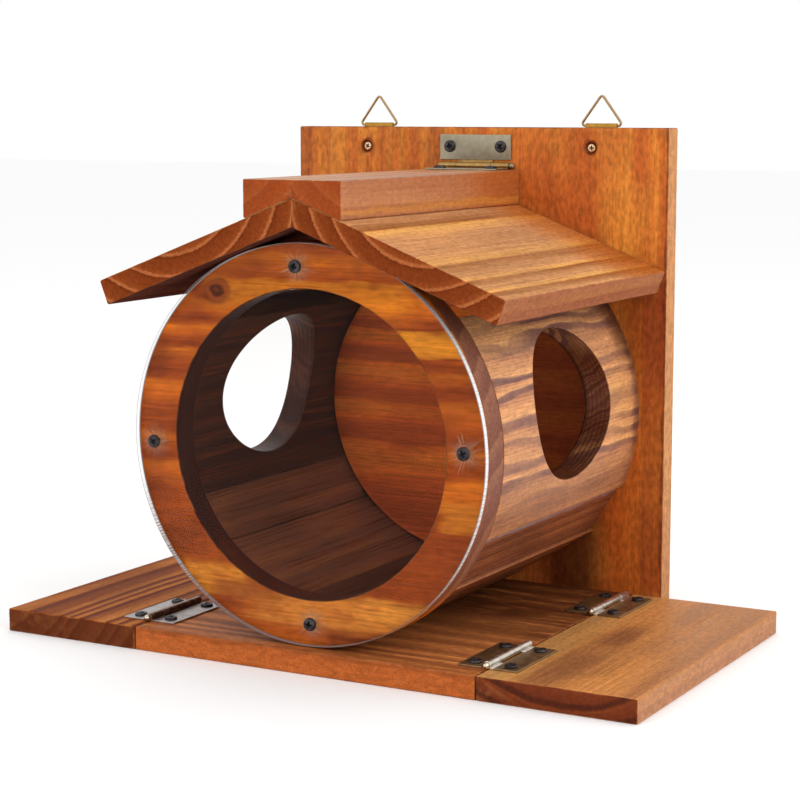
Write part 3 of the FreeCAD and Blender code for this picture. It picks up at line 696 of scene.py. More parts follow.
ring_stain = timber(
    "ring_stain", "X", (0, -30, 60), 17.0,
    [(0.0, "B05011"), (0.22, "C96313"), (0.45, "D97315"), (0.56, "AF4F10"), (0.75, "933E0D"),
     (0.92, "A6490F")],
    [(0.0, "865440"), (0.45, "946048"), (0.55, "7A4A38"), (0.9, "825040")],
    wander=7.0, swirl=40.0, fibre=0.2, washes=[("762C0C", 24, 60, 0.5)], rough=0.4, shine=0.05,
    mottled=0.14,
    patches=[dict(patch, y=RING_FACE) for patch in (
        dict(x=(-62, 12, 66, 8), z=(203, 7, 222, 0.7), tone="EE901F", share=0.75),
        dict(x=(-70, 25, 70, 20), z=(223, 0.6, 246, 5), tone="96431A", share=0.6),
        dict(x=(56, 3, 120, 4), z=(183, 0.6, 197, 0.6), tone="F49D26", share=0.9),
        dict(x=(-120, 4, -92, 7), z=(160, 3, 184, 3), tone="6A2C0E", share=0.65),
        dict(x=(-120, 4, -86, 8), z=(141, 0.8, 149, 0.8), tone="8B3B14", share=0.6),
        dict(x=(-84, 4, -40, 5), z=(37, 2, 55, 3), tone="F29D30", share=0.85),
        dict(x=(-66, 4, -10, 8), z=(34, 2, 47, 1), tone="934114", share=0.65),
        dict(x=(-40, 15, 80, 10), z=(24, 3, 44, 6), tone="F0983A", share=0.85),
        dict(x=(14, 4, 54, 6), z=(12, 3, 25, 1), tone="632C14", share=0.75),
        dict(x=(84, 4, 112, 5), z=(88, 2, 105, 3), tone="EC9026", share=0.7),
        dict(x=(-110, 5, -70, 6), z=(56, 3, 84, 5), tone="6E3214", share=0.65),
        dict(x=(-120, 4, -86, 6), z=(86, 3, 106, 3), tone="74300F", share=0.55),
        dict(x=(54, 4, 90, 3), z=(48, 1, 56, 1), tone="8C3C14", share=0.6),
        dict(x=(36, 6, 80, 4), z=(33, 2, 46, 2), tone="F0A03C", share=0.55),
        dict(x=(-60, 5, -18, 8), z=(29, 3, 46, 1.5), tone="8A3C12", share=0.65),
        dict(x=(60, 5, 110, 4), z=(58, 5, 86, 2), tone="9A481A", share=0.2))]
    # The roof's shadow painted dark on the upper part of the rim, under the eave.
    + [dict(y=(-96, 1, -80, 1), z=(165, 20, 215, 10), tone="5A2410", share=0.8)],
    knots=[((-58.5, -98.5, 213.5), (8, 12, 7.5))])
hoop_outline = rounded_outline([(RING_BORE, ring_low[1]), (barrel_radius, ring_low[1]),
                                (barrel_radius, ring_high[1]), (RING_BORE, ring_high[1])], EASING)
make_piece("barrel_ring", [turned_hoop(hoop_outline, 31)], [ring_stain], "front_ring")


# Staves
# The barrel's walls, glued edge to edge behind the ring. The two side staves are thick blocks worked
# round, with an oval entrance bored straight through; the others are flat boards with mitred edges.
SIDE_STAVE_BORE = 97.6
SIDE_STAVE_ENDS = (math.radians(-24), math.radians(41))
HOLE_HALF_LENGTH = 51.5
HOLE_HALF_HEIGHT = 43.5
HOLE_Z = 146.0
FLAT_STAVE = 13.0
LOWER_STAVE = (-24, -42)
LOWER_INSET = 2.2
LOWER_NOSE = 6.0
FOOT_STAVE = (-42, -74)
FLOOR_STAVE = (-74, -106)
STAVE_EASING = 0.7
STAVE_ROUNDING = STAVE_EASING * 1.05
STAVE_SLACK = 0.1
STAVE_WAVE = 0.04
STAVE_SLOW = 40
STAVE_QUICK = 8
STAVE_CHIP = 0.1
SAW_STROKES = (61, 23)
SIDES = ((1, "right"), (-1, "left"))
stave_low, stave_high = seat("right_side_stave")
hole_y = (stave_low[1] + stave_high[1]) / 2


def side_stave(side):
    """A side stave: rings round the oval hole, carried out to the stave's own four edges.

    The outer and inner faces lie on circles about the barrel's axis. A point goes the share t of the
    way from the hole's oval to the stave's edge, at the share w of the way from outside to inside.
    The section (t, w) is a rounded rectangle, so that every edge is eased. The inner face, the hole's
    wall and the mitred top edge are marked for painted shade. On the hole's wall the painted shade is
    heavier on the left stave and towards the wall's top and bottom, and it carries the faint lines of
    the saw.
    """
    per_side = 40
    share = np.arange(per_side) / per_side
    foot, top = SIDE_STAVE_ENDS
    front, rear = stave_low[1], stave_high[1]
    angle = np.concatenate([np.full(per_side, foot), foot + share * (top - foot),
                            np.full(per_side, top), top + share * (foot - top)])
    reach = np.concatenate([front + share * (rear - front), np.full(per_side, rear),
                            rear + share * (front - rear), np.full(per_side, front)])
    middle = (foot + top) / 2
    aim = np.arctan2((angle - middle) / ((top - foot) / 2), (reach - hole_y) / ((rear - front) / 2))
    oval_y = hole_y + HOLE_HALF_LENGTH * np.cos(aim)
    oval_z = HOLE_Z + HOLE_HALF_HEIGHT * np.sin(aim)
    edge_z = barrel_z + barrel_radius * np.sin(angle)
    span = np.hypot(reach - oval_y, edge_z - oval_z)
    wall = barrel_radius - SIDE_STAVE_BORE
    rise, draw, corner = quarter_round()
    flat = np.linspace(0, 1, 16)[1:-1]
    deep_steps = np.linspace(0, 1, 42)[1:-1]
    eased = STAVE_EASING / span[:, None]
    thin = STAVE_EASING / wall
    plain = np.zeros((len(span), 1))
    far, near, level = draw[::-1], rise[::-1], np.zeros(len(deep_steps))
    out_t = [eased * far, plain + flat, 1 - eased * near, plain + level + 1,
             1 - eased * far, plain + flat[::-1], eased * near, plain + level]
    out_w = [thin * near, 0 * flat, thin * far, deep_steps,
             1 - thin * near, 0 * flat + 1, 1 - thin * far, deep_steps[::-1]]
    marks = [corner, 0 * flat, corner, 0 * deep_steps, corner, 0 * flat, corner, 0 * deep_steps]
    t = np.concatenate(out_t, axis=1)
    w = np.concatenate(out_w)[None]
    radius = barrel_radius - w * wall
    y = (1 - t) * oval_y[:, None] + t * reach[:, None]
    z = (1 - t) * oval_z[:, None] + t * (barrel_z + radius * np.sin(angle)[:, None])
    x = np.sqrt(radius ** 2 - (z - barrel_z) ** 2)
    points = np.stack([x, y, z], axis=-1)
    edge = np.broadcast_to(np.concatenate(marks), t.shape)
    worn = STAVE_CHIP * edge * np.abs(ripple(points, STAVE_QUICK, 42))
    points[:, :, 0] += STAVE_WAVE * (ripple(points, STAVE_SLOW, 41) - 1) - worn
    saw_lines = np.sin(w * SAW_STROKES[0]) * np.sin(w * SAW_STROKES[1] + 1)
    shaded = 0.26 if side > 0 else 0.6
    tilt = np.sin(aim)[:, None]
    # Painted shade on the hole's wall, heavier on the left stave and low down, with the saw's real lines in
    # it; the top edge and the inner face are painted dark as shade too.
    bore_shade_and_saw_lines = (t < eased) * (shaded + 0.45 * np.abs(tilt) + 0.3 * np.clip(-tilt, 0, 1) + 0.26 * saw_lines)
    top_edge_shade = (t > 1 - eased) * (angle > top - 0.01)[:, None] * np.clip(w * 6, 0, 1)
    inside = np.maximum(np.clip(w * 8 - 6.5, 0, 1), np.clip(bore_shade_and_saw_lines + top_edge_shade, 0, 1))
    points[:, :, 0] *= side
    return [points.reshape(-1, 3), [net_faces(*t.shape, wrap_rows=True)], edge.ravel(), inside.ravel()]


def staved(outline, seed):
    """An outline carried over the length of the staves."""
    return carried(outline, "Y", stave_low[1], stave_high[1], STAVE_EASING, seed=seed)


def flat_stave(head, foot, inset=0.0, rounding=STAVE_ROUNDING):
    """A flat stave between two angles of the barrel, its mitred edges pointing at the axis."""
    half = math.radians(head - foot) / 2
    middle = math.radians(head + foot) / 2
    outer = barrel_radius * math.cos(half) - inset
    inner = outer - FLAT_STAVE
    out = np.array([math.cos(middle), math.sin(middle)])
    up = np.array([-math.sin(middle), math.cos(middle)])
    wide, narrow = outer * math.tan(half) - STAVE_SLACK, inner * math.tan(half) - STAVE_SLACK
    corners = [out * outer - up * wide, out * outer + up * wide,
               out * inner + up * narrow, out * inner - up * narrow]
    return rounded_outline(np.array(corners) + (0, barrel_z), rounding)


STAVE_FACE = [(0.0, "D08E60"), (0.25, "DC9B66"), (0.38, "E6A66C"), (0.45, "966858"), (0.62, "84584C"),
              (0.8, "885C50"), (0.89, "BE805A")]
STAVE_END = [(0.0, "6A3420"), (0.1, "8A5032"), (0.18, "6A3420"), (0.38, "84492C"), (0.46, "62301C"),
             (0.7, "8A5032"), (0.78, "62301C")]
PLAIN_END = [(0.0, "5E3420"), (0.5, "7A4A2E"), (0.9, "50291A")]
for side, side_name in SIDES:
    side_stain = timber(
        side_name + "_side_stain", "Y", (side * 66, 0, 205), 11.0, STAVE_FACE, STAVE_END,
        wander=10.0, swirl=26.0, uneven=0.4, fibre=0.2, washes=[("BE845A", 30, 70, 0.5)], rough=0.42,
        mottled=0.12, painted_shade="240A05",
        # The first two patches are painted shade near the back board: over the upper rear part, then along
        # the whole rear end.
        patches=[dict(y=(91, 8, 114, 1), z=(165, 12, 215, 10), tone="4E2618", share=0.7),
                 dict(y=(102, 4, 114, 1), tone="4E2618", share=0.6),
                 dict(y=(62, 8, 98, 5), z=(115, 8, 160, 8), tone="DC9C58", share=0.4),
                 dict(y=(-102, 2, -20, 20), z=(182, 4, 212, 3), tone="DCA068", share=0.5),
                 dict(z=(80, 3, 108, 12), tone="A86E48", share=0.7)])
    make_piece(side_name + "_holed_stave", [side_stave(side)], [side_stain],
               side_name + "_side_stave")
    low_stain = timber(
        side_name + "_lower_stain", "Y", (side * 90, 0, 20), 9.0,
        [(0.0, "905236"), (0.4, "A2603A"), (0.6, "7E482E"), (0.9, "874D33")],
        PLAIN_END,
        wander=3.0, fibre=0.18, washes=[("6A3C28", 40, 88, 0.5)], rough=0.3,
        # A painted highlight: the purple-grey sheen of the sky along the rounded top edge.
        patches=[dict(z=(78.2, 0.8, 82.4, 0.8), way=(side * 0.95, 0, 0.3), tone="86686A", share=0.7)])
    nosed = [STAVE_ROUNDING, LOWER_NOSE, STAVE_ROUNDING, STAVE_ROUNDING]
    lower = flat_stave(*LOWER_STAVE, LOWER_INSET, nosed)
    for piece_name, node, (places, ways, marks), seed in (
            ("_lower_plank", "_lower_stave", lower, 51),
            ("_foot_plank", "_bottom_stave", flat_stave(*FOOT_STAVE), 53)):
        flank = staved((places * (side, 1), ways * (side, 1), marks), seed)
        make_piece(side_name + piece_name, [flank], [low_stain], side_name + node)
floor_stain = timber(
    "floor_stave_stain", "Y", (10, 0, -40), 9.0,
    [(0.0, "7A4228"), (0.4, "8C5230"), (0.6, "5E3220"), (0.9, "6A3A24")],
    PLAIN_END,
    wander=3.0, fibre=0.25, washes=[("4A2416", 40, 88, 0.5)], faces=[(UP, "4A2214", 0.6)])
floor_plank = staved(flat_stave(*FLOOR_STAVE), 55)
make_piece("floor_plank", [floor_plank], [floor_stain], "bottom_stave")


# Rear disc
# A round board that closes the barrel against the back board, its grain across in red-brown bands.
# Four screws hold it from behind, and it is coloured darker on its right.
DISC_RINGS = 34
disc_low, disc_high = seat("rear_disc")
disc_radius = (disc_high[0] - disc_low[0]) / 2
disc_thickness = disc_high[1] - disc_low[1]
rise, draw = quarter_round()[:2]
disc_radii = np.concatenate([np.linspace(4, disc_radius - EASING, DISC_RINGS), disc_radius - EASING * draw,
                             disc_radius - EASING * rise, [disc_radius * 0.6, 4]])
disc_heights = np.concatenate([np.zeros(DISC_RINGS), EASING * rise, disc_thickness - EASING * draw,
                               [disc_thickness] * 2])
disc_stain = timber(
    "disc_stain", "X", (0, 240, 60), 12.5,
    [(0.0, "FB732A"), (0.3, "FF8530"), (0.5, "FF7A2A"), (0.54, "D25E28"), (0.8, "CE5A28"), (0.96, "EC6A2E")],
    PLAIN_END,
    wander=5.0, swirl=60.0, fibre=0.2, washes=[("D05A26", 30, 80, 0.5)], rough=0.5, shine=0.05,
    patches=[dict(x=(34, 14, 110, 5), tone="5A2410", share=0.75)])
make_piece("end_disc", [stood(spun(disc_radii, disc_heights, 160), (0, disc_low[1], barrel_z), BACK)],
           [disc_stain], "rear_disc")


# Window
# A clear acrylic disc, sawn a little larger than the ring's eased face and screwed on. Its faces are
# polished, and fine cracks run out from the screws, painted pale as the glint they catch. Its rim is
# frosted and ribbed by the saw, except at the upper left, where it is clear between dark edges.
window_low, window_high = seat("window_disc")
window_radius = (window_high[0] - window_low[0]) / 2
window_thickness = window_high[1] - window_low[1]
WINDOW_SCREW_CIRCLE = 101.0
WINDOW_SCREW_TURN = math.radians(2.4)
FRONT_RINGS = (10, 50, 85, 108)
BACK_RINGS = (108, 50, 10)
SAWN_FROM = 113.0
RIM_EASING = 0.35
RIM_STEPS = 720
RIB_WIDTH = 0.9
SAW_ROUGHNESS = 0.12
RIM_STROKES = 170
ACRYLIC_INDEX = 1.49


def window_shell():
    """A disc whose rim is ribbed: radius less a small wave of (saw strokes times the angle)."""
    rise, draw = RIM_EASING * np.array(quarter_round(4)[:2])
    radii = np.concatenate([FRONT_RINGS, window_radius - draw, window_radius - rise[1:], BACK_RINGS])
    heights = np.concatenate([np.zeros(len(FRONT_RINGS)), rise, window_thickness - draw[1:],
                              np.full(len(BACK_RINGS), window_thickness)])
    shell = spun(radii, heights, RIM_STEPS)
    points = shell[0]
    radius = np.hypot(points[:, 0], points[:, 1])
    angle = np.arctan2(points[:, 1], points[:, 0])
    uneven = 0.4 + 0.6 * np.clip(ripple(points, 60, 61), 0, 1)
    strokes = SAW_ROUGHNESS * np.abs(np.sin(angle * RIM_STROKES)) * uneven
    points[:, :2] *= (1 - strokes * np.clip((radius - SAWN_FROM) / window_radius, 0, 1))[:, None]
    net, front, back = shell[1]
    rim_rows = np.arange(len(FRONT_RINGS), len(radii) - len(BACK_RINGS) - 1)
    on_rim = np.isin((net // RIM_STEPS).min(axis=1), rim_rows)
    return [points, [net[~on_rim], net[on_rim], front, back], shell[2], shell[3], (0, 1, 0, 0)]


def clear_acrylic():
    """Clear acrylic: see-through by its Fresnel share, with cracks round the four screws painted pale as
    their glint.
    """
    coats = Finish("clear_acrylic")
    spot = coats.spot((0, 0, -barrel_z))
    place = coats.parts(coats.add("Mapping", spot, None, (0, WINDOW_SCREW_TURN, 0)))
    across, up = coats.sum("ABSOLUTE", place[0]), coats.sum("ABSOLUTE", place[2])
    farther = coats.sum("MAXIMUM", across, up)
    out = coats.sum("SUBTRACT", farther, WINDOW_SCREW_CIRCLE)
    off = coats.sum("ADD", coats.sum("MINIMUM", place[0], place[2]), farther)
    aside = coats.sum("MINIMUM", across, up)
    away = coats.sum("SQRT", coats.sum("MULTIPLY_ADD", out, out, coats.product(aside, aside)))
    angle = coats.sum("ARCTAN2", out, aside)
    seed = coats.sum("MULTIPLY_ADD", angle, 14.0, coats.product(coats.sum("SIGN", off), 31.0))
    rays = coats.add("TexNoise", None, seed, 1.6, 2.0, noise_dimensions="1D")
    reach = coats.add("TexNoise", None, seed, 0.5, 0.0, noise_dimensions="1D")
    far = coats.step(away, 4.0, coats.step(reach, 0.35, 0.7, 5.0, 14.0), 1.0, 0.0)
    # The cracks are painted pale with a diffuse coat, as the glint they catch.
    crack_glint = coats.product(coats.step(rays, 0.54, 0.66), far)
    clear = coats.add("BsdfTransparent", (0.97, 0.965, 0.96, 1.0))
    gloss = coats.add("BsdfGlossy", (1, 1, 1, 1), 0.03)
    pale = coats.add("BsdfDiffuse", tone("E8C8A8"), 0.5)
    pane = coats.add("MixShader", coats.product(coats.add("Fresnel", ACRYLIC_INDEX), 0.07), clear, gloss)
    cracked_glint = coats.add("MixShader", coats.product(crack_glint, 0.62), pane, pale)
    coats.links.new(cracked_glint, coats.nodes["Material Output"].inputs["Surface"])
    coats.nodes.remove(coats.shader)
    return coats.material


def sawn_acrylic():
    """The sawn rim: pale grey with a rib across it for each stroke of the saw, and clear at the upper left.

    A rib is noise of the angle about the barrel's axis, the same from face to face.
    """
    coats = Finish("sawn_acrylic", IOR=ACRYLIC_INDEX)
    x, y, z = coats.parts(coats.spot((0, 0, -barrel_z)))
    strokes = coats.product(coats.sum("ARCTAN2", z, x), window_radius / RIB_WIDTH)
    rib = coats.add("TexNoise", None, strokes, 1.0, 1.0, noise_dimensions="1D")
    low = coats.step(z, -100.0, -50.0, 0.85, 0.0)
    ribbed = coats.step(z, -60.0, 10.0, 1.0, 0.35)
    bright = coats.mix(coats.product(coats.step(rib, 0.6, 0.36), ribbed), tone("F6F4F2"), tone("8E8682"))
    aside = coats.sum("ABSOLUTE", coats.sum("SUBTRACT", y, (window_low[1] + window_high[1]) / 2))
    arris = coats.step(aside, window_thickness * 0.3, window_thickness * 0.46, 0.0, 0.75)
    polished = coats.product(coats.step(x, -75.0, -25.0, 1.0, 0.0), coats.step(z, -70.0, -20.0))
    smooth = coats.product(polished, coats.step(arris, 0.02, 0.3, 0.85, 0.0))
    colour = coats.mix(arris, bright, coats.mix(polished, tone("5E5450"), tone("3C3838")))
    coats.paint(Base_Color=coats.mix(low, colour, tone("7A5C52")), Alpha=coats.sum("SUBTRACT", 1.0, smooth),
                Roughness=coats.step(rib, 0.2, 0.8, 0.3, 0.5))
    coats.bump(rib, 0.5, 0.0003)
    return coats.material


make_piece("window_pane", [stood(window_shell(), (0, window_low[1], barrel_z), BACK)],
           [clear_acrylic(), sawn_acrylic()], "window_disc")


# Window screws
# Four black pan-head screws with crossed slots, driven through the window into the ring. The sizes
# of a screw are its head's radius and height, and its shank's radius and length.
WINDOW_SCREW = (3.9, 2.2, 1.6, 16.0)
# The near-black painted into the bottom of every slot as its shade.
SLOT_SHADE = "0C0A0A"


def slot_depth(across, along, width, reach):
    """How deep one arm of a crossed slot is: full on its line, nothing beyond its width and reach."""
    side = np.clip((width - np.abs(across)) / (width * 0.45), 0, 1)
    end = np.clip((reach - np.abs(along)) / (reach * 0.5), 0, 1)
    return side * end


def pan_screw(head, height, shank, length, blunt=False, steps=40):
    """A pan-head screw along the upright axis, its seat at nought and its head above.

    The head's top falls as height * (1 - 0.3 (r / head)^2) and is pressed in by a cross of two
    arms. The shank's radius is its core plus a ridge that climbs with the angle, as a thread does.
    """
    top = np.linspace(0.06, 0.82, 12)
    rim = np.linspace(0, math.pi / 2, 5)
    radii = np.concatenate([head * top, head * (0.82 + 0.18 * np.sin(rim[1:])), [head * 0.97, shank * 1.05]])
    fall = height * (1 - 0.3 * top ** 2)
    heights = np.concatenate([fall, fall[-1] - (fall[-1] - height * 0.22) * (1 - np.cos(rim[1:])), [0, 0]])
    tip = length * 0.08 if blunt else length * 0.2
    down = np.linspace(0.3, length - tip, 30)
    point = np.linspace(0, 1, 6)[1:]
    end_share = 0.7 if blunt else 0.12
    radii = np.concatenate([radii, np.full(30, shank * 0.86), shank * 0.86 * (1 - (1 - end_share) * point)])
    heights = np.concatenate([heights, -down, -(length - tip) - tip * point])
    shell = spun(radii, heights, steps)
    grid = shell[0][:-2].reshape(len(radii), steps, 3)
    angle = full_turn(steps)
    pitch = shank * 0.75
    climb = (grid[:, :, 2] / pitch + angle[None] / (2 * math.pi)) % 1
    ridge = 1 + 0.16 * (1 - np.abs(2 * climb - 1)) * (grid[:, :, 2] < -0.8)
    grid[:, :, :2] *= ridge[:, :, None]
    x, y = grid[:, :, 0], grid[:, :, 1]
    arm = (head * 0.17, head * 0.62)
    cross = np.maximum(slot_depth(x, y, *arm), slot_depth(y, x, *arm))
    cross = np.maximum(cross, np.clip(1.2 - np.hypot(x, y) / (head * 0.22), 0, 1))
    grid[:, :, 2] -= 0.62 * height * cross * (grid[:, :, 2] > height * 0.5)
    shell[0][-2, 2] = height * 0.38
    # The cross and the head's middle are marked for painted shade.
    shell[3][:-2] = cross.ravel() * (grid[:, :, 2].ravel() > 0)
    shell[3][-2] = 1
    return shell


def plated(name, colour, bright, rough, metal=1.0, blotched=0.6, relief=0.12):
    """Blackened or plated metal: a dull skin rubbed bright at its edges, with fine scratches.

    The bottom of a slot, which the painted shade mark gives, is painted nearly black as its shade.
    """
    coats = Finish(name, Metallic=metal)
    spot = coats.spot()
    cloud = coats.noise(spot, (3.5, 3.5, 3.5), 3.0)
    scratch = coats.noise(spot, (0.25, 6.0, 0.4), 2.0)
    skin = coats.mix(coats.step(cloud, 0.35, 0.7, 0.0, blotched), tone(colour), tone(bright))
    skin = coats.mix(coats.product(coats.mark("painted_shade"), 0.9), skin, tone(SLOT_SHADE))
    wear = coats.sum("MULTIPLY_ADD", cloud, 0.14, rough)
    coats.paint(Base_Color=coats.mix(coats.product(coats.mark("edge"), 0.7), skin, tone(bright)),
                Roughness=coats.sum("MULTIPLY_ADD", scratch, 0.12, wear))
    coats.bump(coats.sum("ADD", scratch, cloud), relief, 0.0001)
    return coats.material


black_steel = plated("black_steel", "2C282A", "5E585A", 0.34, metal=0.8)
window_screws = []
for quarter in range(4):
    turn = WINDOW_SCREW_TURN + quarter * math.pi / 2
    out, up = WINDOW_SCREW_CIRCLE * math.cos(turn), WINDOW_SCREW_CIRCLE * math.sin(turn)
    foot = (out, window_low[1], barrel_z + up)
    window_screws.append(stood(pan_screw(*WINDOW_SCREW), foot, FRONT, quarter * 0.9 + 0.35))
make_piece("window_screw_set", window_screws, [black_steel], "window_screws")


# Roof boards
# Two boards glued edge to edge at the ridge and cut plumb there. Each comes from beside the tree's
# heart, so that its end shows smiling arcs and its face broad pale and brown stripes.
ROOF_SLOPE = math.radians(21)
ROOF_THICKNESS = 15.0
ROOF_HEARTS = {1: (82.8, 0, 282.5), -1: (-86.1, 0, 289.7)}
ROOF_RING = {1: 11.9, -1: 12.1}
ROOF_FACE = [(0.0, "CB8F5E"), (0.12, "D6995B"), (0.24, "DEA25C"), (0.3, "D8954F"), (0.36, "965B33"),
             (0.56, "A86F44"), (0.8, "C4895B")]
ROOF_END = {1: [(0.0, "843D1B"), (0.2, "8B431E"), (0.28, "AA6036"), (0.36, "AA5E34"), (0.41, "6A2E13"),
                (0.5, "773516"), (0.75, "7D3918")],
            -1: [(0.0, "7B3717"), (0.45, "823C1A"), (0.66, "8B431E"), (0.74, "AA6036"), (0.82, "AA5E34"),
                 (0.87, "6A2E13"), (0.96, "773516")]}
GLUED = 0.6
roof_low, roof_high = seat("right_roof_board")


def halved(corners, rounding, side):
    """The rounded outline of one of a glued pair, mirrored by side, its glued face kept flat and sharp."""
    places, ways, marks = rounded_outline(corners, [GLUED / 2, rounding, rounding, GLUED / 2])
    free = np.abs(places[:, 0]) > GLUED
    return places * (side, 1), ways * np.stack([free * side, np.ones(len(free))], axis=1), marks * free


for side, side_name in SIDES:
    top = (side * math.sin(ROOF_SLOPE), 0, math.cos(ROOF_SLOPE))
    eave_way = (side * math.cos(ROOF_SLOPE), 0, -math.sin(ROOF_SLOPE))
    roof_stain = timber(
        side_name + "_roof_stain", "Y", ROOF_HEARTS[side], ROOF_RING[side], ROOF_FACE, ROOF_END[side],
        wander=2.2, swirl=60.0, uneven=0.05, fibre=0.17, washes=[("B07C54", 55, 121, 0.5)], rough=0.4,
        mottled=0.12, worn="7E4222", shine=0.0,
        # The underside is painted dark as the shade under the roof.
        faces=[(eave_way, "965840", 0.8), ([-part for part in top], "4C2622", 0.95)],
        patches=[dict(y=(70, 28, 115, 1), way=top, tone="B8641E", share=0.7),
                 dict(x=(94, 12, 135, 1), y=(48, 20, 115, 1), way=top, tone="A8541E", share=0.5)])
    eave = roof_high[2] - math.tan(ROOF_SLOPE) * roof_high[0]
    in_x, down_z = ROOF_THICKNESS * math.sin(ROOF_SLOPE), ROOF_THICKNESS * math.cos(ROOF_SLOPE)
    under = roof_high[2] - ROOF_THICKNESS / math.cos(ROOF_SLOPE)
    corners = [(0, under), (roof_high[0] - in_x, eave - down_z), (roof_high[0], eave), (0, roof_high[2])]
    slope = carried(halved(corners, BOARD_EASING, side), "Y", roof_low[1], roof_high[1], seed=71 + side)
    make_piece(side_name + "_roof_slope", [slope], [roof_stain], side_name + "_roof_board",
               "roof")


# Ridge blocks
# Two blocks, one on each slope, meeting on the middle plane to make the flat top that the hinge needs.
# They are glued down, paler on top than the roof, and their sawn ends are stained red-brown.
BLOCK_EASING = EASING * 0.7
BLOCK_ROUNDING = EASING * 0.8
block_low, block_high = seat("right_ridge_block")
for side, side_name in SIDES:
    ridge_stain = timber(
        side_name + "_ridge_stain", "Y", (side * 70, 0, 330), 15.0,
        [(0.0, "C08962"), (0.3, "CB9468"), (0.42, "D39862"), (0.5, "9E684A"), (0.8, "B07957")],
        [(0.0, "974216"), (0.3, "9C4819"), (0.4, "A04B1F"), (0.48, "913F14"), (0.85, "954014")],
        wander=3.0, swirl=70.0, uneven=0.15, fibre=0.17, washes=[("9A6248", 45, 99, 0.4)], rough=0.38,
        worn="84461F", shine=0.08, faces=[((side, 0, 0), "B26C41", 0.55)],
        patches=[dict(y=(45, 35, 115, 1), x=(28, 2, 40, 2), tone="A8561E", share=0.75),
                 dict(z=(258, 1.2, 261.5, 1.2), y=(-115, 5, 115, 5), tone="D08A3C", share=0.5)])
    slope_foot = roof_high[2] - math.tan(ROOF_SLOPE) * block_high[0]
    corners = [(0, roof_high[2]), (block_high[0], slope_foot), block_high[[0, 2]], (0, block_high[2])]
    outline = halved(corners, BLOCK_ROUNDING, side)
    block = carried(outline, "Y", block_low[1], block_high[1], BLOCK_EASING, seed=81 + side)
    make_piece(side_name + "_ridge_cap", [block], [ridge_stain], side_name + "_ridge_block",
               "roof")


# Wing boards
# A board hinged to each side of the centre board, its grain running front to back. The left one is
# stained in dark stripes, and the right one is paler with a few brown streaks.
WING_TOP = (12, 1, 16, 1)
wing_stains = {
    "right": timber(
        "right_wing_stain", "Y", (160, 0, 100.5), 13.0,
        [(0.0, "CA8447"), (0.3, "D18A4B"), (0.5, "C47C45"), (0.62, "93593B"), (0.75, "A66843"),
         (0.9, "C27E47")],
        [(0.0, "733114"), (0.5, "6A2C11"), (0.62, "4D1F0C"), (0.78, "51210D"), (0.9, "783616")],
        wander=4.0, swirl=50.0, uneven=0.2, fibre=0.16, washes=[("A66E40", 35, 100, 0.6)], rough=0.45,
        mottled=0.14, shine=0.08, faces=[(RIGHT, "B27C57", 0.75)],
        patches=[dict(x=(112, 1, 133, 6), z=WING_TOP, tone="D09A56", share=0.6),
                 dict(x=(138, 5, 160, 9), y=(-112, 1, -35, 25), z=WING_TOP, tone="7C4A30", share=0.6),
                 dict(x=(140, 5, 158, 6), y=(-20, 15, 30, 18), z=WING_TOP, tone="6C3E2C", share=0.65),
                 dict(x=(186, 5, 208, 2), z=WING_TOP, tone="BC7E48", share=0.5)]),
    "left": timber(
        "left_wing_stain", "Y", (-262, 0, 96), 10.5,
        [(0.0, "AE642A"), (0.3, "C27636"), (0.42, "B86A2E"), (0.5, "6C2C10"), (0.7, "743012"),
         (0.84, "974F20")],
        [(0.0, "66301A"), (0.5, "6E381C"), (0.65, "5C2A14"), (0.9, "622E16")],
        wander=4.0, swirl=50.0, uneven=0.5, fibre=0.22, washes=[("74391A", 40, 110, 0.45)], rough=0.55,
        shine=0.03, faces=[(LEFT, "A87450", 0.5)])}
for side_name, seed in (("right", 96), ("left", 95)):
    node = side_name + "_wing_board"
    make_piece(side_name + "_wing_panel", [board(node, "Y", seed)], [wing_stains[side_name]],
               node, side_name + "_wing")


# Hinges
# Stamped butt hinges: a flat leaf whose tongues are rolled round a pin with a ball at one end. The
# wing hinges are one antique bronze, copied lit and shaded: the right wing's knuckles are painted
# bright as the light they reflect, and the left wing's leaves are painted pale and their knuckles
# dark, as the white and the shade they reflect. The one on the roof is yellowed zinc. A pitch is
# the distance between a leaf's screws and from the pin to them.
LEAF_SHEET = 1.0
KNUCKLE_RADIUS = 2.2
PIN_RADIUS = 1.25
KNUCKLE_LIFT = 0.15
KNUCKLE_GAP = 0.3
LEAF_NOTCH = 3.6
BALL_RADIUS = 1.9
PIN_SHORT = 0.1
PIN_NECK = 1.4
HINGE_SCREW = (3.8, 1.8, 1.6, 11.0)
LEAF_FOOT = -KNUCKLE_RADIUS - KNUCKLE_LIFT
TONGUE_BEND = math.radians(305)
TONGUE_STEPS = 34


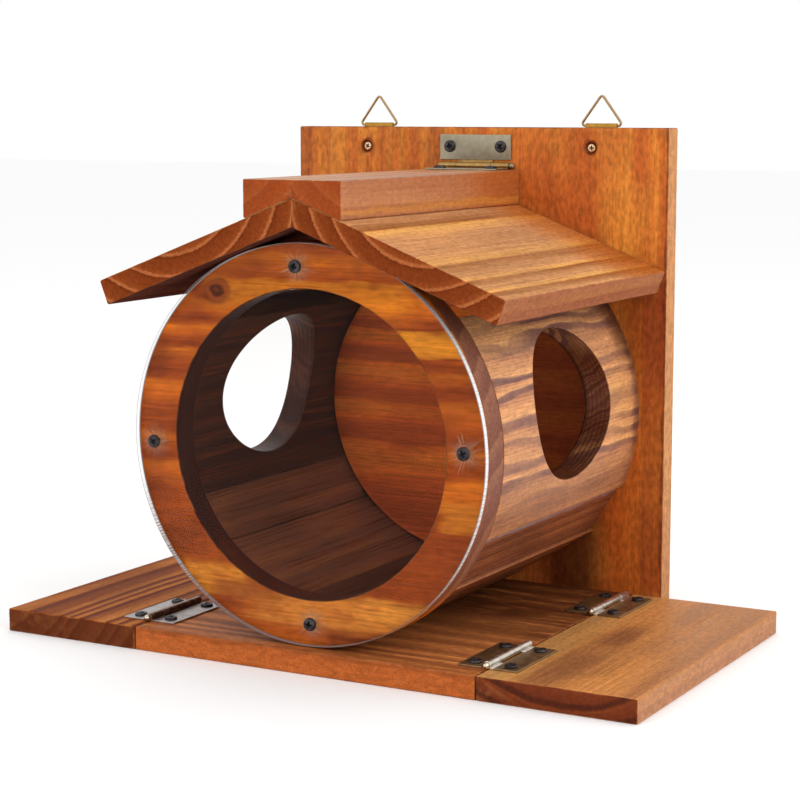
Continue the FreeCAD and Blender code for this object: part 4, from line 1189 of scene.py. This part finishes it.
def rolled_tongue(low, high):
    """A tongue of the leaf rolled round the pin: its section is a strip bent through 305 degrees.

    The strip's outside runs on a circle of the knuckle's radius and its inside on the pin's; both
    start flat under the pin, where the tongue comes from the leaf.
    """
    bend = -math.pi / 2 - np.linspace(0, TONGUE_BEND, TONGUE_STEPS)
    outer = np.stack([KNUCKLE_RADIUS * np.cos(bend), KNUCKLE_RADIUS * np.sin(bend)], axis=1)
    inner = np.stack([PIN_RADIUS * np.cos(bend), PIN_RADIUS * np.sin(bend)], axis=1)[::-1]
    leaf_end = [[LEAF_NOTCH, LEAF_FOOT + LEAF_SHEET * 0.98], [LEAF_NOTCH, LEAF_FOOT]]
    places = np.concatenate([outer, inner, leaf_end])
    ahead = np.roll(places, -1, axis=0) - np.roll(places, 1, axis=0)
    ways = np.stack([-ahead[:, 1], ahead[:, 0]], axis=1) / np.linalg.norm(ahead, axis=1)[:, None]
    marks = np.zeros(len(places))
    marks[[TONGUE_STEPS - 1, TONGUE_STEPS]] = 1
    return carried((places, ways, marks), "X", low, high, 0.12, wave=0.0, chip=0.0)


def hinge_leaf(length, width, tongues):
    """A leaf lying towards +Y from a pin along X, with the numbered tongues."""
    outline = rounded_outline([(-length / 2, LEAF_NOTCH), (length / 2, LEAF_NOTCH),
                               (length / 2, width), (-length / 2, width)], 0.3, 2.0)
    shells = [carried(outline, "Z", LEAF_FOOT, LEAF_FOOT + LEAF_SHEET, 0.2, wave=0.0, chip=0.03)]
    marks = [-length / 2, -length / 4, length / 4, length / 2]
    for number in tongues:
        tongue = rolled_tongue(marks[number] + KNUCKLE_GAP / 2, marks[number + 1] - KNUCKLE_GAP / 2)
        shells.append([*tongue, (1, 1)])
    return shells


def hinge_pin(length):
    """A pin along X, a leaf's length long, flat at its left end and with a ball beyond its right end."""
    left_end, right_end = -length / 2 + PIN_SHORT, length / 2 + PIN_NECK + BALL_RADIUS
    shaft = PIN_RADIUS * 0.99
    ball = np.linspace(math.radians(140), math.radians(8), 10)
    radii = np.concatenate([[0.4, PIN_RADIUS * 0.9, shaft, shaft], BALL_RADIUS * np.sin(ball)])
    middle = right_end - BALL_RADIUS
    along = np.concatenate([[left_end, left_end, left_end + 0.2, middle - BALL_RADIUS * 0.76],
                            middle + BALL_RADIUS * np.cos(ball)])
    return stood(spun(radii, along, 32), (0, 0, 0), RIGHT)


TO_RIGHT = ((0, -1, 0), (1, 0, 0), (0, 0, 1))
TO_LEFT = ((0, 1, 0), (-1, 0, 0), (0, 0, 1))
LID_DOWN = ((-1, 0, 0), (0, -1, 0), (0, 0, 1))
BACK_UP = ((1, 0, 0), (0, 0, 1), (0, -1, 0))
WING_LEAF = (53.0, 18.0)
WING_PITCH = (38.0, 10.8)
ROOF_LEAF = (50.0, 19.5)
ROOF_PITCH = (36.0, 12.0)


def leaf_screws(pitch, turn, pin, seed):
    """The two screws of a leaf, their slots at odd angles."""
    across, out = pitch
    places = [(x, out, LEAF_FOOT + LEAF_SHEET) for x in (-across / 2, across / 2)]
    return [laid(stood(pan_screw(*HINGE_SCREW), place, UP, seed * 1.7 + number * 2.1), turn, pin)
            for number, place in enumerate(places)]


# Lit and shaded copies of one bronze: right knuckles painted bright as a reflection of light, left leaves
# painted pale as a reflection of the white surroundings, left knuckles painted dark as a reflection of shade.
leaf_metals = {
    "right": [plated("antique_bronze", "86704E", "B89C74", 0.34),
              plated("knuckle_painted_bright", "CFC8BC", "F4F0E8", 0.2)],
    "left": [plated("bronze_painted_pale", "948A86", "C0B8B4", 0.28),
             plated("knuckle_painted_dark", "7A6252", "B09A86", 0.26)]}
bright_pin = plated("bright_pin", "C8BCA8", "F0E8D8", 0.16)
zinc = plated("yellow_zinc", "8E8672", "B4AA94", 0.3, blotched=0.3, relief=0.03)
golden = plated("golden_knuckle", "A07C48", "C8A468", 0.26, blotched=0.4)
inner_screws = []
for side, side_name in SIDES:
    outer_screws = []
    for number, end in enumerate(("front", "rear")):
        name = side_name + "_" + end + "_hinge_"
        pin_low, pin_high = seat(name + "pin")
        pin = ((pin_low[0] + pin_high[0]) / 2, pin_high[1] - WING_LEAF[0] / 2, (pin_low[2] + pin_high[2]) / 2)
        for faces, turn, tongues in ((1, TO_RIGHT, (0, 2)), (-1, TO_LEFT, (1,))):
            on_wing = faces == side
            node = name + ("outer_leaf" if on_wing else "inner_leaf")
            shells = [laid(shell, turn, pin) for shell in hinge_leaf(*WING_LEAF, tongues)]
            make_piece(name + ("wing_plate" if on_wing else "base_plate"), shells, leaf_metals[side_name],
                       node, side_name + "_wing" if on_wing else "feeder")
            screws = leaf_screws(WING_PITCH, turn, pin, number + 3 * faces)
            (outer_screws if on_wing else inner_screws).extend(screws)
        rod = laid(hinge_pin(WING_LEAF[0]), TO_RIGHT, pin)
        make_piece(name + "rod", [rod], [bright_pin], name + "pin")
    make_piece(side_name + "_wing_screw_set", outer_screws, [black_steel],
               side_name + "_wing_hinge_outer_screws", side_name + "_wing")
make_piece("base_screw_set", inner_screws, [black_steel], "wing_hinge_inner_screws")

pin_low, pin_high = seat("roof_hinge_pin")
pin = (pin_low[0] + ROOF_LEAF[0] / 2, (pin_low[1] + pin_high[1]) / 2, (pin_low[2] + pin_high[2]) / 2)
roof_leaves = (("ridge", "roof_hinge_lid", LID_DOWN, (0, 2), 1, "roof"),
               ("upright", "roof_hinge_back", BACK_UP, (1,), 2, "feeder"))
for name, node, turn, tongues, seed, body in roof_leaves:
    shells = [laid(shell, turn, pin) for shell in hinge_leaf(*ROOF_LEAF, tongues)]
    make_piece(name + "_plate", shells, [zinc, golden], node + "_leaf", body)
rod = laid(hinge_pin(ROOF_LEAF[0]), np.eye(3), pin)
make_piece("ridge_rod", [rod], [zinc], "roof_hinge_pin")
for name, node, turn, tongues, seed, body in roof_leaves:
    screws = leaf_screws(ROOF_PITCH, turn, pin, seed)
    make_piece(name + "_screw_pair", screws, [black_steel], node + "_screws", body)


# Hangers
# A triangle of wire stands in the eye of a brass strap folded double behind the back board. A small
# bolt in a sunk hole holds each strap, with a nut behind.
WIRE_RADIUS = 0.8
RING_BEND = 1.6
RING_HEIGHT = 19.4
RING_HALF_WIDTH = 14.5
STRAP_SHEET = 0.7
STRAP_EYE = 0.88
STRAP_OUTSIDE = STRAP_EYE + STRAP_SHEET
BOLT_HEAD = (2.8, 2.0, 1.5)
NUT_FLATS = 5.5
NUT_STEPS = 48
WIRE_STEPS = 16


def wire_triangle(low, high):
    """A wire round a triangle with rounded corners: a tube whose middle runs on the outline.

    A point is the outline's place plus the wire's radius times (cos u outward + sin u along Y).
    """
    middle_x, middle_y, foot = (low[0] + high[0]) / 2, (low[1] + high[1]) / 2, low[2] + WIRE_RADIUS
    corners = [(middle_x - RING_HALF_WIDTH, foot), (middle_x + RING_HALF_WIDTH, foot),
               (middle_x, foot + RING_HEIGHT)]
    places, ways, marks = rounded_outline(corners, RING_BEND, 1.5)
    turn = full_turn(WIRE_STEPS)
    out, aside = WIRE_RADIUS * np.cos(turn), WIRE_RADIUS * np.sin(turn)
    points = np.stack([places[:, :1] + out * ways[:, :1],
                       np.broadcast_to(middle_y + aside, (len(places), len(turn))),
                       places[:, 1:] + out * ways[:, 1:]], axis=-1)
    flat = points.reshape(-1, 3)
    plain = np.zeros(len(flat))
    return [flat, [net_faces(len(places), len(turn), wrap_rows=True)], plain, plain]


def folded_strap(low, high):
    """A strip folded over the wire: two legs flat together below, and an arc round the eye above.

    The arc's radius is the eye's plus the sheet's thickness. The wire lies inside the fold.
    """
    eye_y, eye_z = high[1] - STRAP_OUTSIDE, high[2] - STRAP_OUTSIDE
    bend = np.radians(np.linspace(-150, 180, 40))[5:]
    outer = np.stack([eye_y + STRAP_OUTSIDE * np.cos(bend), eye_z + STRAP_OUTSIDE * np.sin(bend)], axis=1)
    front, rear = low[1], low[1] + 2 * STRAP_SHEET
    foot = [[front, low[2]], [rear, low[2]], [rear, eye_z - 1.4]]
    beyond = outer[:, 0] > rear - 0.01
    places = np.concatenate([foot, outer[beyond], outer[~beyond][-30:]])
    order = np.unique(places, axis=0, return_index=True)[1]
    places = places[np.sort(order)]
    ahead = np.roll(places, -1, axis=0) - np.roll(places, 1, axis=0)
    ways = np.stack([ahead[:, 1], -ahead[:, 0]], axis=1) / np.linalg.norm(ahead, axis=1)[:, None]
    return carried((places, ways, np.zeros(len(places))), "X", low[0], high[0], 0.15, wave=0.0, chip=0.0)


def hex_nut(centre, thickness):
    """A six-sided nut: its radius is the flats' half width over the cosine of the angle from a flat."""
    angle = full_turn(NUT_STEPS)
    from_flat = (angle + math.pi / 6) % (math.pi / 3) - math.pi / 6
    hexagon = NUT_FLATS / 2 / np.cos(from_flat)
    rounding = np.array([0.55, 0.9, 1.0, 1.0, 0.9, 0.55])
    heights = thickness * np.array([0.0, 0.02, 0.16, 0.84, 0.98, 1.0])
    radius = rounding[:, None] * hexagon
    up = np.outer(heights, np.ones(NUT_STEPS))
    grid = np.stack([radius * np.cos(angle), radius * np.sin(angle), up], axis=-1)
    return stood(poled(grid, (0, 0, 0), (0, 0, thickness)), centre, BACK, 0.3)


brass = plated("brass", "A87C30", "CFA350", 0.3, blotched=0.4, relief=0.05)
bolt_brass = plated("bolt_brass", "D8B488", "F4E4CC", 0.28, blotched=0.5, relief=0.05)
wire = plated("ring_wire", "A08258", "C8B088", 0.24, blotched=0.3, relief=0.0)
nuts_low, nuts_high = seat("hanger_nuts")
hanger_bolts, hanger_nuts = [], []
for side, side_name in SIDES:
    low, high = seat(side_name + "_hanger_ring")
    make_piece(side_name + "_wire_ring", [wire_triangle(low, high)], [wire],
               side_name + "_hanger_ring", side_name + "_ring")
    node = side_name + "_hanger_strap"
    make_piece(side_name + "_folded_strap", [folded_strap(*seat(node))], [brass], node)
    bolt = pan_screw(*BOLT_HEAD, bolts_high[1] - bolts_low[1] - BOLT_HEAD[1], blunt=True)
    foot = (side * hanger_x, bolts_low[1] + BOLT_HEAD[1], hanger_z)
    hanger_bolts.append(stood(bolt, foot, FRONT, 0.5 + side))
    hanger_nuts.append(hex_nut((side * hanger_x, nuts_low[1], hanger_z), nuts_high[1] - nuts_low[1]))
make_piece("hanger_bolt_pair", hanger_bolts, [bolt_brass], "hanger_bolts")
make_piece("hanger_nut_pair", hanger_nuts, [brass], "hanger_nuts")


# Frame screws
# Zinc-plated screws with heads sunk flush: two up through the centre board into the ring, and behind the
# back board three into the centre board's rear edge and four into the rear disc.
zinc_screw = plated("zinc_screw", "A8A89C", "D8D8D0", 0.3)
FOOT_SCREW_X = 14.0
FRAME_SHANK = 2.0


def frame_screws(node, length, way, places):
    """Screws of one kind, each with its head's seat at a place and its head towards a way."""
    size = (*SUNK_HEAD, FRAME_SHANK, length - SUNK_HEAD[1])
    screws = [stood(pan_screw(*size), place, way, number * 1.3) for number, place in enumerate(places)]
    make_piece(node + "_set", screws, [zinc_screw], node)


foot_low, foot_high = seat("ring_foot_screws")
frame_screws("ring_foot_screws", max(foot_high - foot_low), (0, 0, -1),
             [(x, (ring_low[1] + ring_high[1]) / 2, SUNK_HEAD[1]) for x in (-FOOT_SCREW_X, FOOT_SCREW_X)])
for node, low, high, screws in (("base_back_screws", edge_low, edge_high, edge_screws),
                                ("rear_disc_screws", disc_screw_low, disc_screw_high, disc_screws)):
    frame_screws(node, high[1] - low[1], BACK, [(x, back_high[1] - SUNK_HEAD[1], z) for x, z in screws])

low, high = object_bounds()
